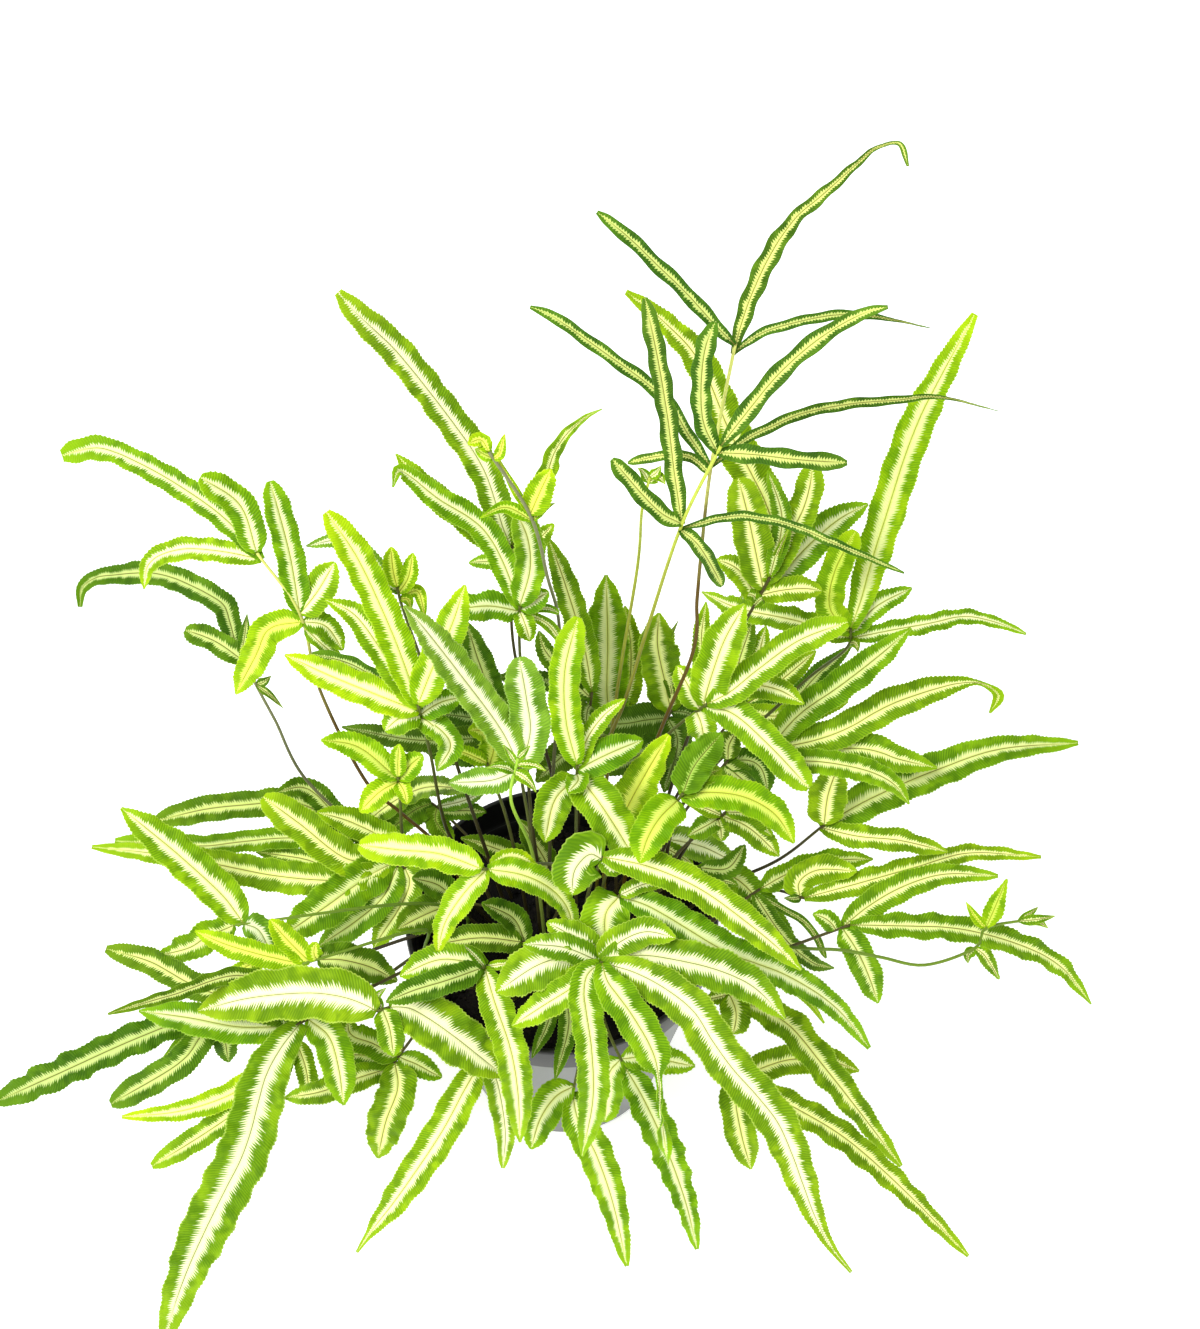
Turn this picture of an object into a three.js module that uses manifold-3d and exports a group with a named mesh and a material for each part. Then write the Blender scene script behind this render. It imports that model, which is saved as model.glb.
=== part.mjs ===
// Silver brake fern, a variegated Pteris, in a round 14 cm nursery pot.
// Millimetres, +Z up. The origin is the middle of the pot's underside.
import * as THREE from 'three';
import { mergeVertices } from 'three/addons/utils/BufferGeometryUtils.js';
import Module from 'manifold-3d';

const wasm = await Module();
wasm.setup();

// ---- driving dimensions ----
const POT_HEIGHT = 120;
const POT_RIM_RADIUS = 70;
const POT_BASE_RADIUS = 46;
const POT_WALL = 1.8;
const POT_FLOOR = 2.6;
const RIM_BAND = 16;
const RIM_STEP = 3.2;
const POT_FACETS = 32;
const DRAIN_COUNT = 6;
const DRAIN_RADIUS = 4;
const DRAIN_CIRCLE = 32;
const SOIL_TOP = 102;
const GAP = 0.3;
const HOLE_DEPTH = 12;
const STEM_RADIUS = 1.4;
const STEM_SIDES = 3;
const HOLE_RADIUS = 2.7;
const CROWN_SPACING = 6.5;
const BLADE_THICKNESS = 0.75;
const BLADE_FOLD = 0.16;
const FOLDED_WIDTH = 12.5;
const BLADE_PITCH = 25;
const ROOT_STEP = 3.2;
const LAYER_GAP = 7;
const OVER_RIM_RADIUS = 66;
const STEM_CHECKS = 36;
const STEM_CLEAR = 4;
const SWAY_SIZES = [0, 5, 10, 15, 20, 26];
const SWAY_TURNS = 12;
const STEM_PITCH = 30;

// ---- colours ----
const POT_COLOUR = 0xb9bcbe;
const SOIL_COLOUR = 0x14110e;
const LEAF_COLOURS = {
  dark: 0x4f7a35,
  green: 0x6f9744,
  light: 0x93b45a,
  pale: 0xb4c88c,
  young: 0xb2c94f,
};

// ---- drawing sheet ----
// The fronds are set out on a sheet, u to the right and v down, as they look from an eye point
// in front of the pot. A point's height above the ground then fixes its place in space.
const EYE = new THREE.Vector3(17, -525, 945);
const EYE_PITCH = THREE.MathUtils.degToRad(51);
const SHEET_SCALE = 2178;
const SHEET_MIDDLE = [600, 664.5];
const SIGHT_FORWARD = new THREE.Vector3(0, Math.cos(EYE_PITCH), -Math.sin(EYE_PITCH));
const SIGHT_UP = new THREE.Vector3(0, Math.sin(EYE_PITCH), Math.cos(EYE_PITCH));

function sightRay(u, v) {
  const across = (u - SHEET_MIDDLE[0]) / SHEET_SCALE;
  const upward = (SHEET_MIDDLE[1] - v) / SHEET_SCALE;
  return SIGHT_FORWARD.clone().addScaledVector(SIGHT_UP, upward).add(new THREE.Vector3(across, 0, 0));
}

function depthAtHeight(u, v, height) {
  return (height - EYE.z) / sightRay(u, v).z;
}

function placeOnSight(u, v, depth) {
  return sightRay(u, v).multiplyScalar(depth).add(EYE);
}

// ---- layout ----
// leaf(width mm, rise of the tip over the hub mm, form, then sheet points from hub to tip)
// whorl(hub u, hub v, hub height mm, leaves)
// frond(name, tone, [u, v, height] points that the stem passes, whorls)
function leaf(width, rise, form, ...path) {
  return { width, rise, form, path };
}

function whorl(u, v, height, ...leaves) {
  return { u, v, height, leaves };
}

function frond(name, tone, passes, ...whorls) {
  return { name, tone, passes, whorls };
}

const FRONDS = [
  frond('frond_back_2', 'dark', [],
    whorl(614, 727, 170,
      leaf(16.5, 80, 'lance', 608, 690, 608, 640, 606, 575),
      leaf(10.5, 50, 'lance', 628, 690, 631, 650, 625, 606),
      leaf(10, -12, 'lance', 606, 745, 592, 780),
      leaf(13, -10, 'lance', 588, 738, 562, 756, 536, 782))),
  frond('frond_back_3', 'dark', [],
    whorl(674, 705, 175,
      leaf(15.5, 65, 'lance', 667, 680, 658, 645, 659, 613),
      leaf(5, 60, 'young', 668, 670, 667, 645, 678, 621),
      leaf(13.5, -8, 'lance', 652, 713, 625, 722, 596, 724),
      leaf(7, -8, 'ovate', 690, 712, 700, 728),
      leaf(11, -25, 'lance', 662, 732, 640, 752, 604, 775),
      leaf(11, -24, 'lance', 680, 738, 664, 792),
      leaf(10, -28, 'lance', 666, 745, 645, 770, 617, 794))),
  frond('frond_back_4', 'dark', [],
    whorl(592, 692, 205,
      leaf(10, 80, 'lance', 585, 650, 575, 615, 562, 575, 548, 537),
      leaf(9, 15, 'ovate', 565, 670, 545, 650, 539, 631),
      leaf(8, -6, 'ovate', 588, 706, 586, 725),
      leaf(8, 5, 'lance', 555, 680, 525, 680, 497, 676))),
  frond('frond_back_1', 'dark', [],
    whorl(520, 730, 185,
      leaf(11.5, 75, 'lance', 495, 700, 480, 665, 466, 621),
      leaf(12, 6, 'lance', 490, 720, 462, 716, 436, 714),
      leaf(11, -4, 'lance', 488, 745, 455, 752, 424, 750),
      leaf(10, 4, 'lance', 478, 735, 415, 739, 342, 727))),
  frond('frond_back_5', 'dark', [],
    whorl(556, 888, 118,
      leaf(10, 30, 'lance', 530, 862, 490, 846, 461, 838),
      leaf(10, 50, 'lance', 545, 860, 520, 820))),
  frond('frond_back_6', 'dark', [],
    whorl(745, 702, 195,
      leaf(8, 45, 'lance', 715, 680, 703, 640, 706, 602),
      leaf(9, 35, 'lance', 739, 668, 753, 619),
      leaf(9, 30, 'ovate', 756, 665, 766, 626),
      leaf(9, 14, 'lance', 778, 682, 816, 651),
      leaf(8, 10, 'lance', 790, 700, 820, 672, 852, 646),
      leaf(9, -10, 'ovate', 765, 715, 771, 731),
      leaf(9, 0, 'lance', 790, 712, 848, 702))),
  frond('frond_back_7', 'green', [],
    whorl(432, 803, 138,
      leaf(12, 5, 'lance', 412, 812, 386, 834),
      leaf(9, -12, 'lance', 434, 820, 453, 843),
      leaf(8, 0, 'lance', 455, 808, 486, 812),
      leaf(6, 8, 'ovate', 462, 800, 486, 790))),
  frond('frond_tall_bud', 'light', [[637, 570, 270], [642, 510, 320]],
    whorl(650, 477, 340,
      leaf(4, 6, 'young', 646, 473, 638, 468),
      leaf(4, 6, 'young', 656, 473, 661, 466),
      leaf(4.5, 2, 'young', 659, 475, 665, 484))),
  frond('frond_right_2', 'young', [[795, 690, 220], [845, 650, 260]],
    whorl(851, 628, 275,
      leaf(12.5, 120, 'lance', 861, 600, 872, 560, 888, 510, 902, 465, 919, 420, 939, 380, 958, 345, 975, 314),
      leaf(8, 8, 'lance', 875, 606, 912, 588),
      leaf(7, -18, 'wavy', 890, 624, 930, 620, 965, 615, 999, 623, 1026, 634),
      leaf(9, -30, 'wavy', 800, 617, 740, 608, 702, 592),
      leaf(10.5, 50, 'lance', 830, 605, 835, 570, 856, 531),
      leaf(4, -10, 'young', 856, 640, 858, 652))),
  frond('frond_right_1', 'green', [],
    whorl(770, 577, 305,
      leaf(14, 105, 'lance', 778, 520, 758, 475, 731, 427, 700, 360, 660, 318, 626, 292),
      leaf(13, 45, 'lance', 757, 540, 738, 478),
      leaf(7, 45, 'ovate', 782, 520, 768, 471),
      leaf(10.5, 42, 'lance', 784, 545, 803, 510, 811, 480, 811, 462),
      leaf(12, 15, 'lance', 790, 560, 815, 537, 840, 518, 868, 504),
      leaf(9, -8, 'ovate', 795, 584, 822, 591),
      leaf(9, 0, 'lance', 745, 566, 716, 560),
      leaf(3, 22, 'young', 777, 555, 789, 528),
      leaf(5, -15, 'young', 766, 590, 763, 604),
      leaf(5, -15, 'young', 755, 588, 739, 598))),
  frond('frond_tall_right', 'green', [[692, 655, 296], [697, 600, 325], [701, 555, 344]],
    whorl(711, 467, 385,
      leaf(4.3, 40, 'narrow', 689, 436, 670, 405, 644, 381, 609, 356, 580, 335, 550, 315, 530, 307),
      leaf(3.4, -10, 'narrow', 690, 453, 660, 455, 628, 463),
      leaf(3.6, -5, 'narrow', 745, 440, 771, 427, 801, 414, 850, 404, 900, 400, 940, 397, 998, 411)),
    whorl(735, 345, 440,
      leaf(6, 30, 'narrow', 748, 301, 770, 253, 794, 218, 815, 200, 843, 176, 876, 148, 900, 144, 908, 166),
      leaf(4.6, 35, 'narrow', 715, 325, 687, 294, 657, 265, 628, 237, 597, 212),
      leaf(3.2, -10, 'narrow', 758, 329, 789, 320, 838, 313, 880, 317, 930, 328))),
  frond('frond_tall_centre', 'light', [[600, 768, 190], [625, 700, 235], [650, 620, 280]],
    whorl(682, 524, 360,
      leaf(6, 100, 'narrow', 674, 470, 668, 420, 658, 360, 645, 298),
      leaf(6, 25, 'narrow', 661, 513, 640, 492, 612, 459),
      leaf(3.2, -18, 'narrow', 712, 517, 740, 513, 790, 523, 840, 545, 904, 573),
      leaf(5, -35, 'narrow', 698, 541, 710, 562, 722, 586)),
    whorl(721, 446, 405,
      leaf(6.2, 45, 'narrow', 706, 420, 702, 388, 705, 350, 715, 322),
      leaf(6, 35, 'narrow', 745, 415, 779, 374, 819, 339, 860, 315, 888, 307),
      leaf(5.8, -10, 'narrow', 755, 451, 800, 459, 847, 463))),
  frond('frond_upper_1', 'green', [[515, 655, 225]],
    whorl(512, 545, 300,
      leaf(11.5, 100, 'lance', 500, 515, 488, 476, 465, 437, 400, 355, 359, 316, 338, 292),
      leaf(9.5, 35, 'lance', 500, 545, 470, 522, 428, 489, 396, 454),
      leaf(6, -10, 'ovate', 495, 558, 469, 563),
      leaf(7.5, 85, 'narrow', 537, 501, 548, 471, 555, 452, 567, 434, 585, 418, 602, 409),
      leaf(7, 10, 'ovate', 535, 540, 554, 524))),
  frond('frond_upper_2', 'light', [[520, 655, 250]],
    whorl(520, 606, 300,
      leaf(9.5, 45, 'lance', 503, 560, 480, 525, 439, 499, 415, 480, 400, 470, 393, 487),
      leaf(10.5, 55, 'lance', 530, 570, 528, 540, 517, 513),
      leaf(8, 5, 'ovate', 533, 600, 549, 592),
      leaf(7, -15, 'ovate', 525, 622, 530, 641),
      leaf(10, -8, 'wavy', 490, 604, 463, 608, 440, 612),
      leaf(4, -25, 'narrow', 545, 620, 562, 642),
      leaf(3, -10, 'narrow', 545, 607, 559, 613))),
  frond('frond_upper_3', 'young', [[560, 642, 250], [547, 575, 310]],
    whorl(530, 515, 350,
      leaf(5, 0, 'young', 505, 506, 480, 518),
      leaf(9, 20, 'ovate', 540, 492, 551, 469),
      leaf(3, 3, 'young', 545, 507, 555, 503),
      leaf(3, 22, 'young', 515, 490, 495, 453)),
    whorl(489, 452, 380,
      leaf(5, 4, 'ovate', 481, 440, 468, 444),
      leaf(4, -4, 'young', 482, 452, 475, 449),
      leaf(4, 8, 'young', 498, 450, 505, 434))),
  frond('frond_left_bud', 'young', [[432, 690, 220], [404, 612, 285]],
    whorl(397, 587, 300,
      leaf(7, 18, 'ovate', 393, 570, 391, 547),
      leaf(6, 12, 'ovate', 408, 575, 413, 553),
      leaf(5, -14, 'young', 415, 585, 422, 602, 425, 622),
      leaf(4, -14, 'young', 407, 595, 411, 612),
      leaf(6.5, 6, 'lance', 378, 566, 348, 540, 306, 546))),
  frond('frond_left_1', 'dark', [[308, 782, 160], [275, 720, 205]],
    whorl(256, 685, 225,
      leaf(4, 2, 'young', 264, 682, 271, 676),
      leaf(3, 5, 'young', 270, 695, 283, 708)),
    whorl(241, 655, 238,
      leaf(9.5, -22, 'lance', 230, 630, 224, 604, 200, 588, 160, 573, 120, 574, 86, 582, 80, 607),
      leaf(9, 0, 'ovate', 215, 640, 185, 630),
      leaf(5, 20, 'young', 245, 635, 247, 614))),
  frond('frond_left_2', 'light', [[400, 812, 174], [365, 780, 200], [320, 690, 250]],
    whorl(300, 614, 284,
      leaf(10, 55, 'lance', 291, 560, 281, 520, 270, 481),
      leaf(12.5, 18, 'ovate', 318, 591, 335, 562),
      leaf(11, -45, 'lance', 268, 625, 255, 655, 236, 694),
      leaf(8.5, -20, 'ovate', 325, 624, 343, 650),
      leaf(5, -28, 'narrow', 320, 640, 340, 660)),
    whorl(257, 553, 305,
      leaf(9, 5, 'lance', 230, 522, 200, 498, 150, 468, 100, 448, 62, 456),
      leaf(11, 28, 'lance', 240, 505, 200, 477),
      leaf(8.5, -25, 'lance', 220, 548, 180, 548, 150, 562, 144, 589))),
  frond('frond_inner_young', 'young', [],
    whorl(487, 763, 215,
      leaf(11, 12, 'ovate', 493, 745, 485, 732, 468, 730),
      leaf(6, 6, 'ovate', 470, 755, 453, 749))),
  frond('frond_back_left_1', 'dark', [],
    whorl(345, 842, 122,
      leaf(11.5, 8, 'lance', 320, 815, 290, 802, 240, 805, 201, 810, 153, 822),
      leaf(9, -6, 'lance', 290, 838, 240, 842, 200, 846, 115, 841),
      leaf(10, 25, 'lance', 330, 812, 305, 788, 275, 793),
      leaf(10, 14, 'lance', 365, 815, 420, 788, 474, 790),
      leaf(8, -6, 'lance', 330, 866, 300, 858, 256, 852))),
  frond('frond_back_left_2', 'green', [],
    whorl(384, 862, 145,
      leaf(14, 20, 'lance', 345, 858, 300, 824, 263, 797),
      leaf(13, -26, 'lance', 345, 878, 280, 876, 210, 863, 150, 853, 92, 847),
      leaf(16.5, -10, 'lance', 360, 878, 325, 906, 283, 936),
      leaf(12, -30, 'lance', 397, 880, 393, 910, 374, 948),
      leaf(12, 20, 'lance', 380, 840, 350, 822, 317, 812),
      leaf(12, -34, 'lance', 376, 895, 352, 922, 318, 947))),
  frond('frond_left_3', 'light', [[447, 830, 156], [430, 752, 229]],
    whorl(418, 705, 275,
      leaf(11.5, 65, 'lance', 406, 668, 387, 620, 357, 557, 326, 512),
      leaf(11.5, -12, 'lance', 380, 693, 330, 675, 285, 655),
      leaf(10, 25, 'lance', 385, 655, 355, 615, 325, 600),
      leaf(5.5, -8, 'narrow', 395, 688, 352, 664, 312, 654),
      leaf(12, 45, 'lance', 432, 670, 452, 625, 465, 585),
      leaf(9, -5, 'ovate', 440, 700, 461, 698),
      leaf(11, -15, 'ovate', 400, 715, 385, 731),
      leaf(9, -25, 'ovate', 432, 722, 442, 740),
      leaf(9, -40, 'lance', 440, 725, 450, 745, 437, 771))),
  frond('frond_mid_1', 'pale', [],
    whorl(519, 765, 244,
      leaf(12.5, 80, 'lance', 500, 728, 463, 678, 423, 627, 404, 606),
      leaf(14, 45, 'lance', 530, 730, 526, 695, 519, 657),
      leaf(10, -18, 'ovate', 490, 779, 449, 783))),
  frond('frond_left_young', 'young', [[407, 850, 140], [400, 800, 210]],
    whorl(398, 777, 240,
      leaf(10, 12, 'ovate', 359, 747, 321, 740),
      leaf(6, 14, 'ovate', 398, 760, 399, 744),
      leaf(9, 8, 'ovate', 412, 763, 423, 755),
      leaf(9, -15, 'ovate', 380, 790, 360, 812),
      leaf(6, -12, 'ovate', 404, 790, 407, 804))),
  frond('frond_low_right_1', 'dark', [],
    whorl(660, 838, 140,
      leaf(12, -8, 'lance', 700, 846, 736, 863),
      leaf(7, -6, 'lance', 674, 850, 693, 865))),
  frond('frond_low_right_2', 'dark', [],
    whorl(700, 868, 175,
      leaf(11, -38, 'lance', 735, 875, 760, 900, 780, 932, 796, 962),
      leaf(5, 0, 'ovate', 718, 878, 738, 885),
      leaf(8, 5, 'ovate', 728, 868, 745, 845))),
  frond('frond_low_right_3', 'dark', [],
    whorl(760, 889, 165,
      leaf(9, 2, 'wavy', 790, 873, 830, 861, 873, 859),
      leaf(3, -25, 'narrow', 785, 906, 810, 926, 826, 958),
      leaf(7, -32, 'lance', 785, 935, 812, 962, 834, 968))),
  frond('frond_low_right_4', 'dark', [],
    whorl(804, 898, 168,
      leaf(11, 8, 'lance', 802, 882, 820, 870, 857, 871),
      leaf(9, -2, 'wavy', 860, 883, 920, 866, 970, 853, 1041, 857),
      leaf(4, 0, 'young', 795, 899, 784, 898))),
  frond('frond_low_right_5', 'green', [],
    whorl(850, 925, 145,
      leaf(7, 5, 'ovate', 828, 918, 813, 914),
      leaf(10.5, -30, 'lance', 863, 955, 878, 1003),
      leaf(10.5, 0, 'lance', 873, 905, 905, 886, 945, 874, 998, 876),
      leaf(9.5, -55, 'wavy', 900, 926, 960, 929, 1020, 945, 1061, 967, 1091, 1004))),
  frond('frond_right_3', 'green', [[778, 860, 160]],
    whorl(824, 825, 200,
      leaf(14, 30, 'ovate', 828, 795, 838, 766),
      leaf(14, -5, 'lance', 859, 804, 899, 785, 941, 768, 1000, 749, 1078, 743),
      leaf(8.5, -20, 'wavy', 860, 835, 900, 840, 948, 852))),
  frond('frond_right_4', 'green', [],
    whorl(772, 745, 215,
      leaf(11.5, 45, 'lance', 800, 714, 840, 686, 880, 655, 911, 628),
      leaf(12, 22, 'lance', 815, 738, 850, 726, 886, 706, 921, 693, 960, 683, 987, 685, 1000, 700, 990, 713),
      leaf(12, -8, 'lance', 825, 745, 870, 748, 900, 759, 937, 768),
      leaf(9, -20, 'lance', 790, 756, 830, 761, 870, 771, 895, 785, 909, 804))),
  frond('frond_right_5', 'dark', [],
    whorl(728, 760, 225,
      leaf(9, 10, 'ovate', 729, 745, 737, 731),
      leaf(10, -18, 'lance', 740, 775, 755, 792),
      leaf(9, -15, 'lance', 748, 758, 762, 768, 768, 793))),
  frond('frond_right_6', 'light', [[640, 766, 190], [675, 728, 235]],
    whorl(707, 704, 262,
      leaf(14, 45, 'lance', 712, 680, 725, 640, 745, 604),
      leaf(10, 5, 'ovate', 690, 685, 677, 666),
      leaf(11, -18, 'ovate', 705, 722, 703, 743),
      leaf(12, -28, 'lance', 735, 712, 770, 745, 809, 788),
      leaf(11, 25, 'lance', 730, 692, 760, 668, 800, 640, 848, 622),
      leaf(10, -12, 'lance', 740, 684, 775, 688, 804, 704))),
  frond('frond_right_7', 'green', [],
    whorl(726, 812, 210,
      leaf(7, -12, 'ovate', 723, 825, 721, 841),
      leaf(9, -20, 'lance', 750, 826, 779, 856),
      leaf(6, -10, 'lance', 750, 815, 772, 836),
      leaf(6, -2, 'young', 705, 807, 685, 803),
      leaf(8, -12, 'lance', 710, 823, 688, 836))),
  frond('frond_mid_2', 'young', [],
    whorl(618, 845, 190,
      leaf(15, 75, 'lance', 624, 815, 645, 775, 669, 735))),
  frond('frond_mid_3', 'light', [],
    whorl(577, 765, 246,
      leaf(11, 70, 'lance', 566, 720, 565, 670, 578, 617),
      leaf(7, 20, 'lance', 587, 737, 604, 715, 625, 699),
      leaf(12, 0, 'lance', 610, 752, 643, 740),
      leaf(15, -30, 'lance', 602, 803, 634, 858),
      leaf(8, -2, 'ovate', 578, 778, 568, 793),
      leaf(12.5, -40, 'lance', 555, 795, 545, 842))),
  frond('frond_mid_young', 'light', [[530, 845, 200], [511, 800, 250]],
    whorl(518, 758, 270,
      leaf(4, 0, 'young', 503, 763, 487, 768),
      leaf(3, 6, 'young', 524, 752, 530, 746),
      leaf(3, -2, 'young', 532, 762, 546, 771),
      leaf(5, -12, 'young', 527, 775, 536, 792),
      leaf(3, 5, 'young', 510, 752, 503, 745))),
  frond('frond_inner_1', 'dark', [],
    whorl(455, 900, 122,
      leaf(14, -5, 'lance', 428, 912, 396, 930),
      leaf(11, -8, 'ovate', 438, 885, 412, 878))),
  frond('frond_inner_2', 'dark', [],
    whorl(522, 942, 122,
      leaf(10, 25, 'lance', 512, 918, 482, 903),
      leaf(11, 10, 'lance', 480, 938, 433, 945),
      leaf(8, 4, 'lance', 552, 978, 568, 1020, 555, 1080),
      leaf(7, 3, 'lance', 540, 975, 549, 1015, 532, 1058))),
  frond('frond_low_left_1', 'young', [],
    whorl(235, 925, 160,
      leaf(14.5, 28, 'lance', 217, 896, 180, 858, 148, 830, 121, 808),
      leaf(11, -15, 'wavy', 207, 937, 189, 948, 158, 956),
      leaf(10.5, -15, 'lance', 254, 930, 266, 945, 272, 963))),
  frond('frond_low_left_2', 'young', [],
    whorl(302, 964, 160,
      leaf(9, 5, 'lance', 262, 955, 225, 944, 195, 931),
      leaf(7, -5, 'lance', 262, 960, 240, 970, 221, 976),
      leaf(9, 12, 'lance', 289, 945, 270, 919),
      leaf(6, 5, 'ovate', 308, 957, 317, 942),
      leaf(13, -32, 'lance', 335, 962, 370, 968, 397, 981))),
  frond('frond_trail_left_1', 'dark', [],
    whorl(205, 1012, 108,
      leaf(12.5, -38, 'wavy', 165, 1027, 119, 1046, 60, 1073, -5, 1102),
      leaf(11.5, -33, 'lance', 194, 1040, 174, 1066, 111, 1104),
      leaf(7, -20, 'young', 187, 1036, 160, 1062),
      leaf(10, -22, 'ovate', 222, 1040, 229, 1062))),
  frond('frond_trail_left_2', 'young', [],
    whorl(290, 1045, 92,
      leaf(10, -15, 'lance', 262, 1072, 232, 1094, 181, 1111, 122, 1117),
      leaf(10, -30, 'lance', 262, 1092, 225, 1120, 190, 1143, 152, 1166),
      leaf(8, -16, 'lance', 304, 1070, 311, 1102))),
  frond('frond_low_left_3', 'green', [],
    whorl(390, 1068, 106,
      leaf(14.5, -42, 'lance', 395, 1092, 385, 1123, 378, 1158),
      leaf(9, -6, 'ovate', 415, 1068, 442, 1077),
      leaf(8, 12, 'ovate', 391, 1050, 389, 1027),
      leaf(10, -6, 'lance', 360, 1057, 320, 1056),
      leaf(10, -26, 'lance', 355, 1079, 320, 1092, 284, 1098),
      leaf(11, 12, 'lance', 370, 1048, 350, 1035, 348, 1015))),
  frond('frond_low_left_4', 'green', [],
    whorl(294, 1026, 138,
      leaf(13, -18, 'lance', 240, 1027, 190, 1018, 139, 1011),
      leaf(18.5, -85, 'lance', 264, 1071, 243, 1149, 217, 1204, 186, 1273, 163, 1342),
      leaf(13, -28, 'lance', 322, 1040, 337, 1070, 344, 1105),
      leaf(10.5, -10, 'lance', 240, 1006, 190, 985, 150, 962, 106, 949),
      leaf(6.5, -18, 'narrow', 240, 979, 170, 996, 108, 1014))),
  frond('frond_trail_right', 'pale', [[800, 948, 105], [840, 950, 110], [880, 957, 112], [925, 965, 110]],
    whorl(975, 948, 108,
      leaf(4.5, -6, 'young', 968, 955, 968, 963),
      leaf(6, -15, 'lance', 985, 956, 999, 979)),
    whorl(986, 928, 108,
      leaf(4, 4, 'young', 976, 918, 966, 902),
      leaf(7.5, 15, 'lance', 996, 905, 1007, 879)),
    whorl(1025, 920, 105,
      leaf(3, 2, 'young', 1031, 914, 1038, 907),
      leaf(4, 2, 'young', 1040, 919, 1055, 916),
      leaf(4, -2, 'young', 1037, 921, 1048, 928))),
  frond('frond_front_right_1', 'green', [],
    whorl(748, 1080, 82,
      leaf(11, -60, 'wavy', 783, 1101, 845, 1138, 907, 1193, 968, 1256),
      leaf(12.5, -32, 'lance', 738, 1101, 742, 1135, 751, 1169),
      leaf(12, -2, 'lance', 790, 1062, 830, 1062, 859, 1071),
      leaf(6, 0, 'ovate', 722, 1068, 706, 1070))),
  frond('frond_front_right_2', 'green', [],
    whorl(735, 998, 120,
      leaf(12.5, -55, 'wavy', 785, 1022, 825, 1068, 862, 1115, 901, 1166),
      leaf(12, -10, 'ovate', 738, 1014, 733, 1034),
      leaf(6, -2, 'ovate', 722, 998, 706, 999))),
  frond('frond_front_left_1', 'light', [],
    whorl(482, 1060, 114,
      leaf(13, -68, 'lance', 464, 1091, 440, 1135, 400, 1194, 370, 1233, 357, 1252),
      leaf(10, -40, 'lance', 496, 1085, 505, 1130, 503, 1168))),
  frond('frond_front_1', 'light', [[583, 1042, 128]],
    whorl(573, 1092, 104,
      leaf(13, -62, 'lance', 578, 1120, 596, 1154, 613, 1203, 627, 1266),
      leaf(13, -20, 'ovate', 555, 1100, 540, 1120, 531, 1149))),
  frond('frond_front_2', 'light', [[610, 1036, 129]],
    whorl(624, 1066, 124,
      leaf(12.5, -65, 'wavy', 642, 1096, 665, 1145, 685, 1200, 697, 1249),
      leaf(13, -22, 'ovate', 610, 1080, 605, 1122),
      leaf(11, -3, 'ovate', 650, 1060, 695, 1066))),
  frond('frond_low_left_5', 'pale', [],
    whorl(377, 1011, 162,
      leaf(19, -22, 'lance', 350, 999, 310, 993, 250, 998, 198, 1011),
      leaf(18.5, -34, 'lance', 405, 1012, 450, 1036, 505, 1076),
      leaf(10, -15, 'ovate', 388, 1030, 394, 1056),
      leaf(4, 5, 'young', 375, 998, 386, 988))),
  frond('frond_front_left_2', 'light', [],
    whorl(482, 968, 160,
      leaf(12, -12, 'lance', 440, 960, 400, 976),
      leaf(12, -72, 'lance', 492, 1000, 510, 1050, 518, 1095, 520, 1142),
      leaf(4, 4, 'young', 473, 955, 463, 944),
      leaf(4, 0, 'young', 500, 965, 521, 962),
      leaf(10, -30, 'lance', 448, 980, 415, 990, 386, 1002))),
  frond('frond_bright', 'young', [],
    whorl(482, 869, 232,
      leaf(12, -15, 'lance', 440, 854, 400, 850, 359, 845),
      leaf(10.5, -45, 'lance', 462, 893, 445, 922, 438, 951),
      leaf(6, -15, 'lance', 500, 858, 520, 859, 538, 869),
      leaf(10.5, -48, 'lance', 520, 875, 550, 889, 568, 910, 574, 938))),
  frond('frond_front_right_3', 'pale', [],
    whorl(620, 895, 212,
      leaf(13.5, -80, 'lance', 650, 905, 690, 929, 730, 953, 780, 972, 820, 995, 846, 1018, 869, 1048),
      leaf(6, -75, 'lance', 740, 950, 800, 993, 824, 1023),
      leaf(17, -25, 'lance', 606, 915, 606, 954),
      leaf(6, 2, 'lance', 645, 884, 668, 882))),
  frond('frond_front_right_4', 'pale', [],
    whorl(603, 857, 222,
      leaf(17, -20, 'ovate', 590, 853, 575, 870, 572, 895),
      leaf(12, -72, 'lance', 650, 867, 700, 889, 745, 921, 778, 948, 801, 970),
      leaf(6, -6, 'ovate', 612, 868, 622, 869))),
  frond('frond_right_8', 'young', [],
    whorl(683, 793, 246,
      leaf(12, -30, 'lance', 710, 790, 745, 796, 775, 814, 794, 843),
      leaf(13.5, -12, 'lance', 662, 815, 648, 838, 640, 863),
      leaf(12, 0, 'lance', 695, 765, 722, 733),
      leaf(8, -2, 'ovate', 700, 778, 722, 769))),
  frond('frond_front_3', 'pale', [],
    whorl(602, 963, 186,
      leaf(17, -22, 'lance', 580, 957, 540, 965, 496, 992),
      leaf(11, -38, 'lance', 578, 985, 545, 1005, 512, 1026),
      leaf(11.5, -78, 'lance', 585, 985, 592, 1050, 593, 1100, 582, 1156),
      leaf(13, -58, 'tail', 608, 982, 630, 1012, 652, 1050, 659, 1080, 661, 1115, 668, 1164),
      leaf(14.5, -90, 'lance', 640, 975, 690, 1007, 725, 1059, 777, 1121, 801, 1179, 823, 1234, 851, 1272),
      leaf(15, -35, 'lance', 640, 956, 680, 961, 720, 971, 755, 988, 785, 1019),
      leaf(11, -5, 'lance', 620, 944, 646, 932, 676, 938),
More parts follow.
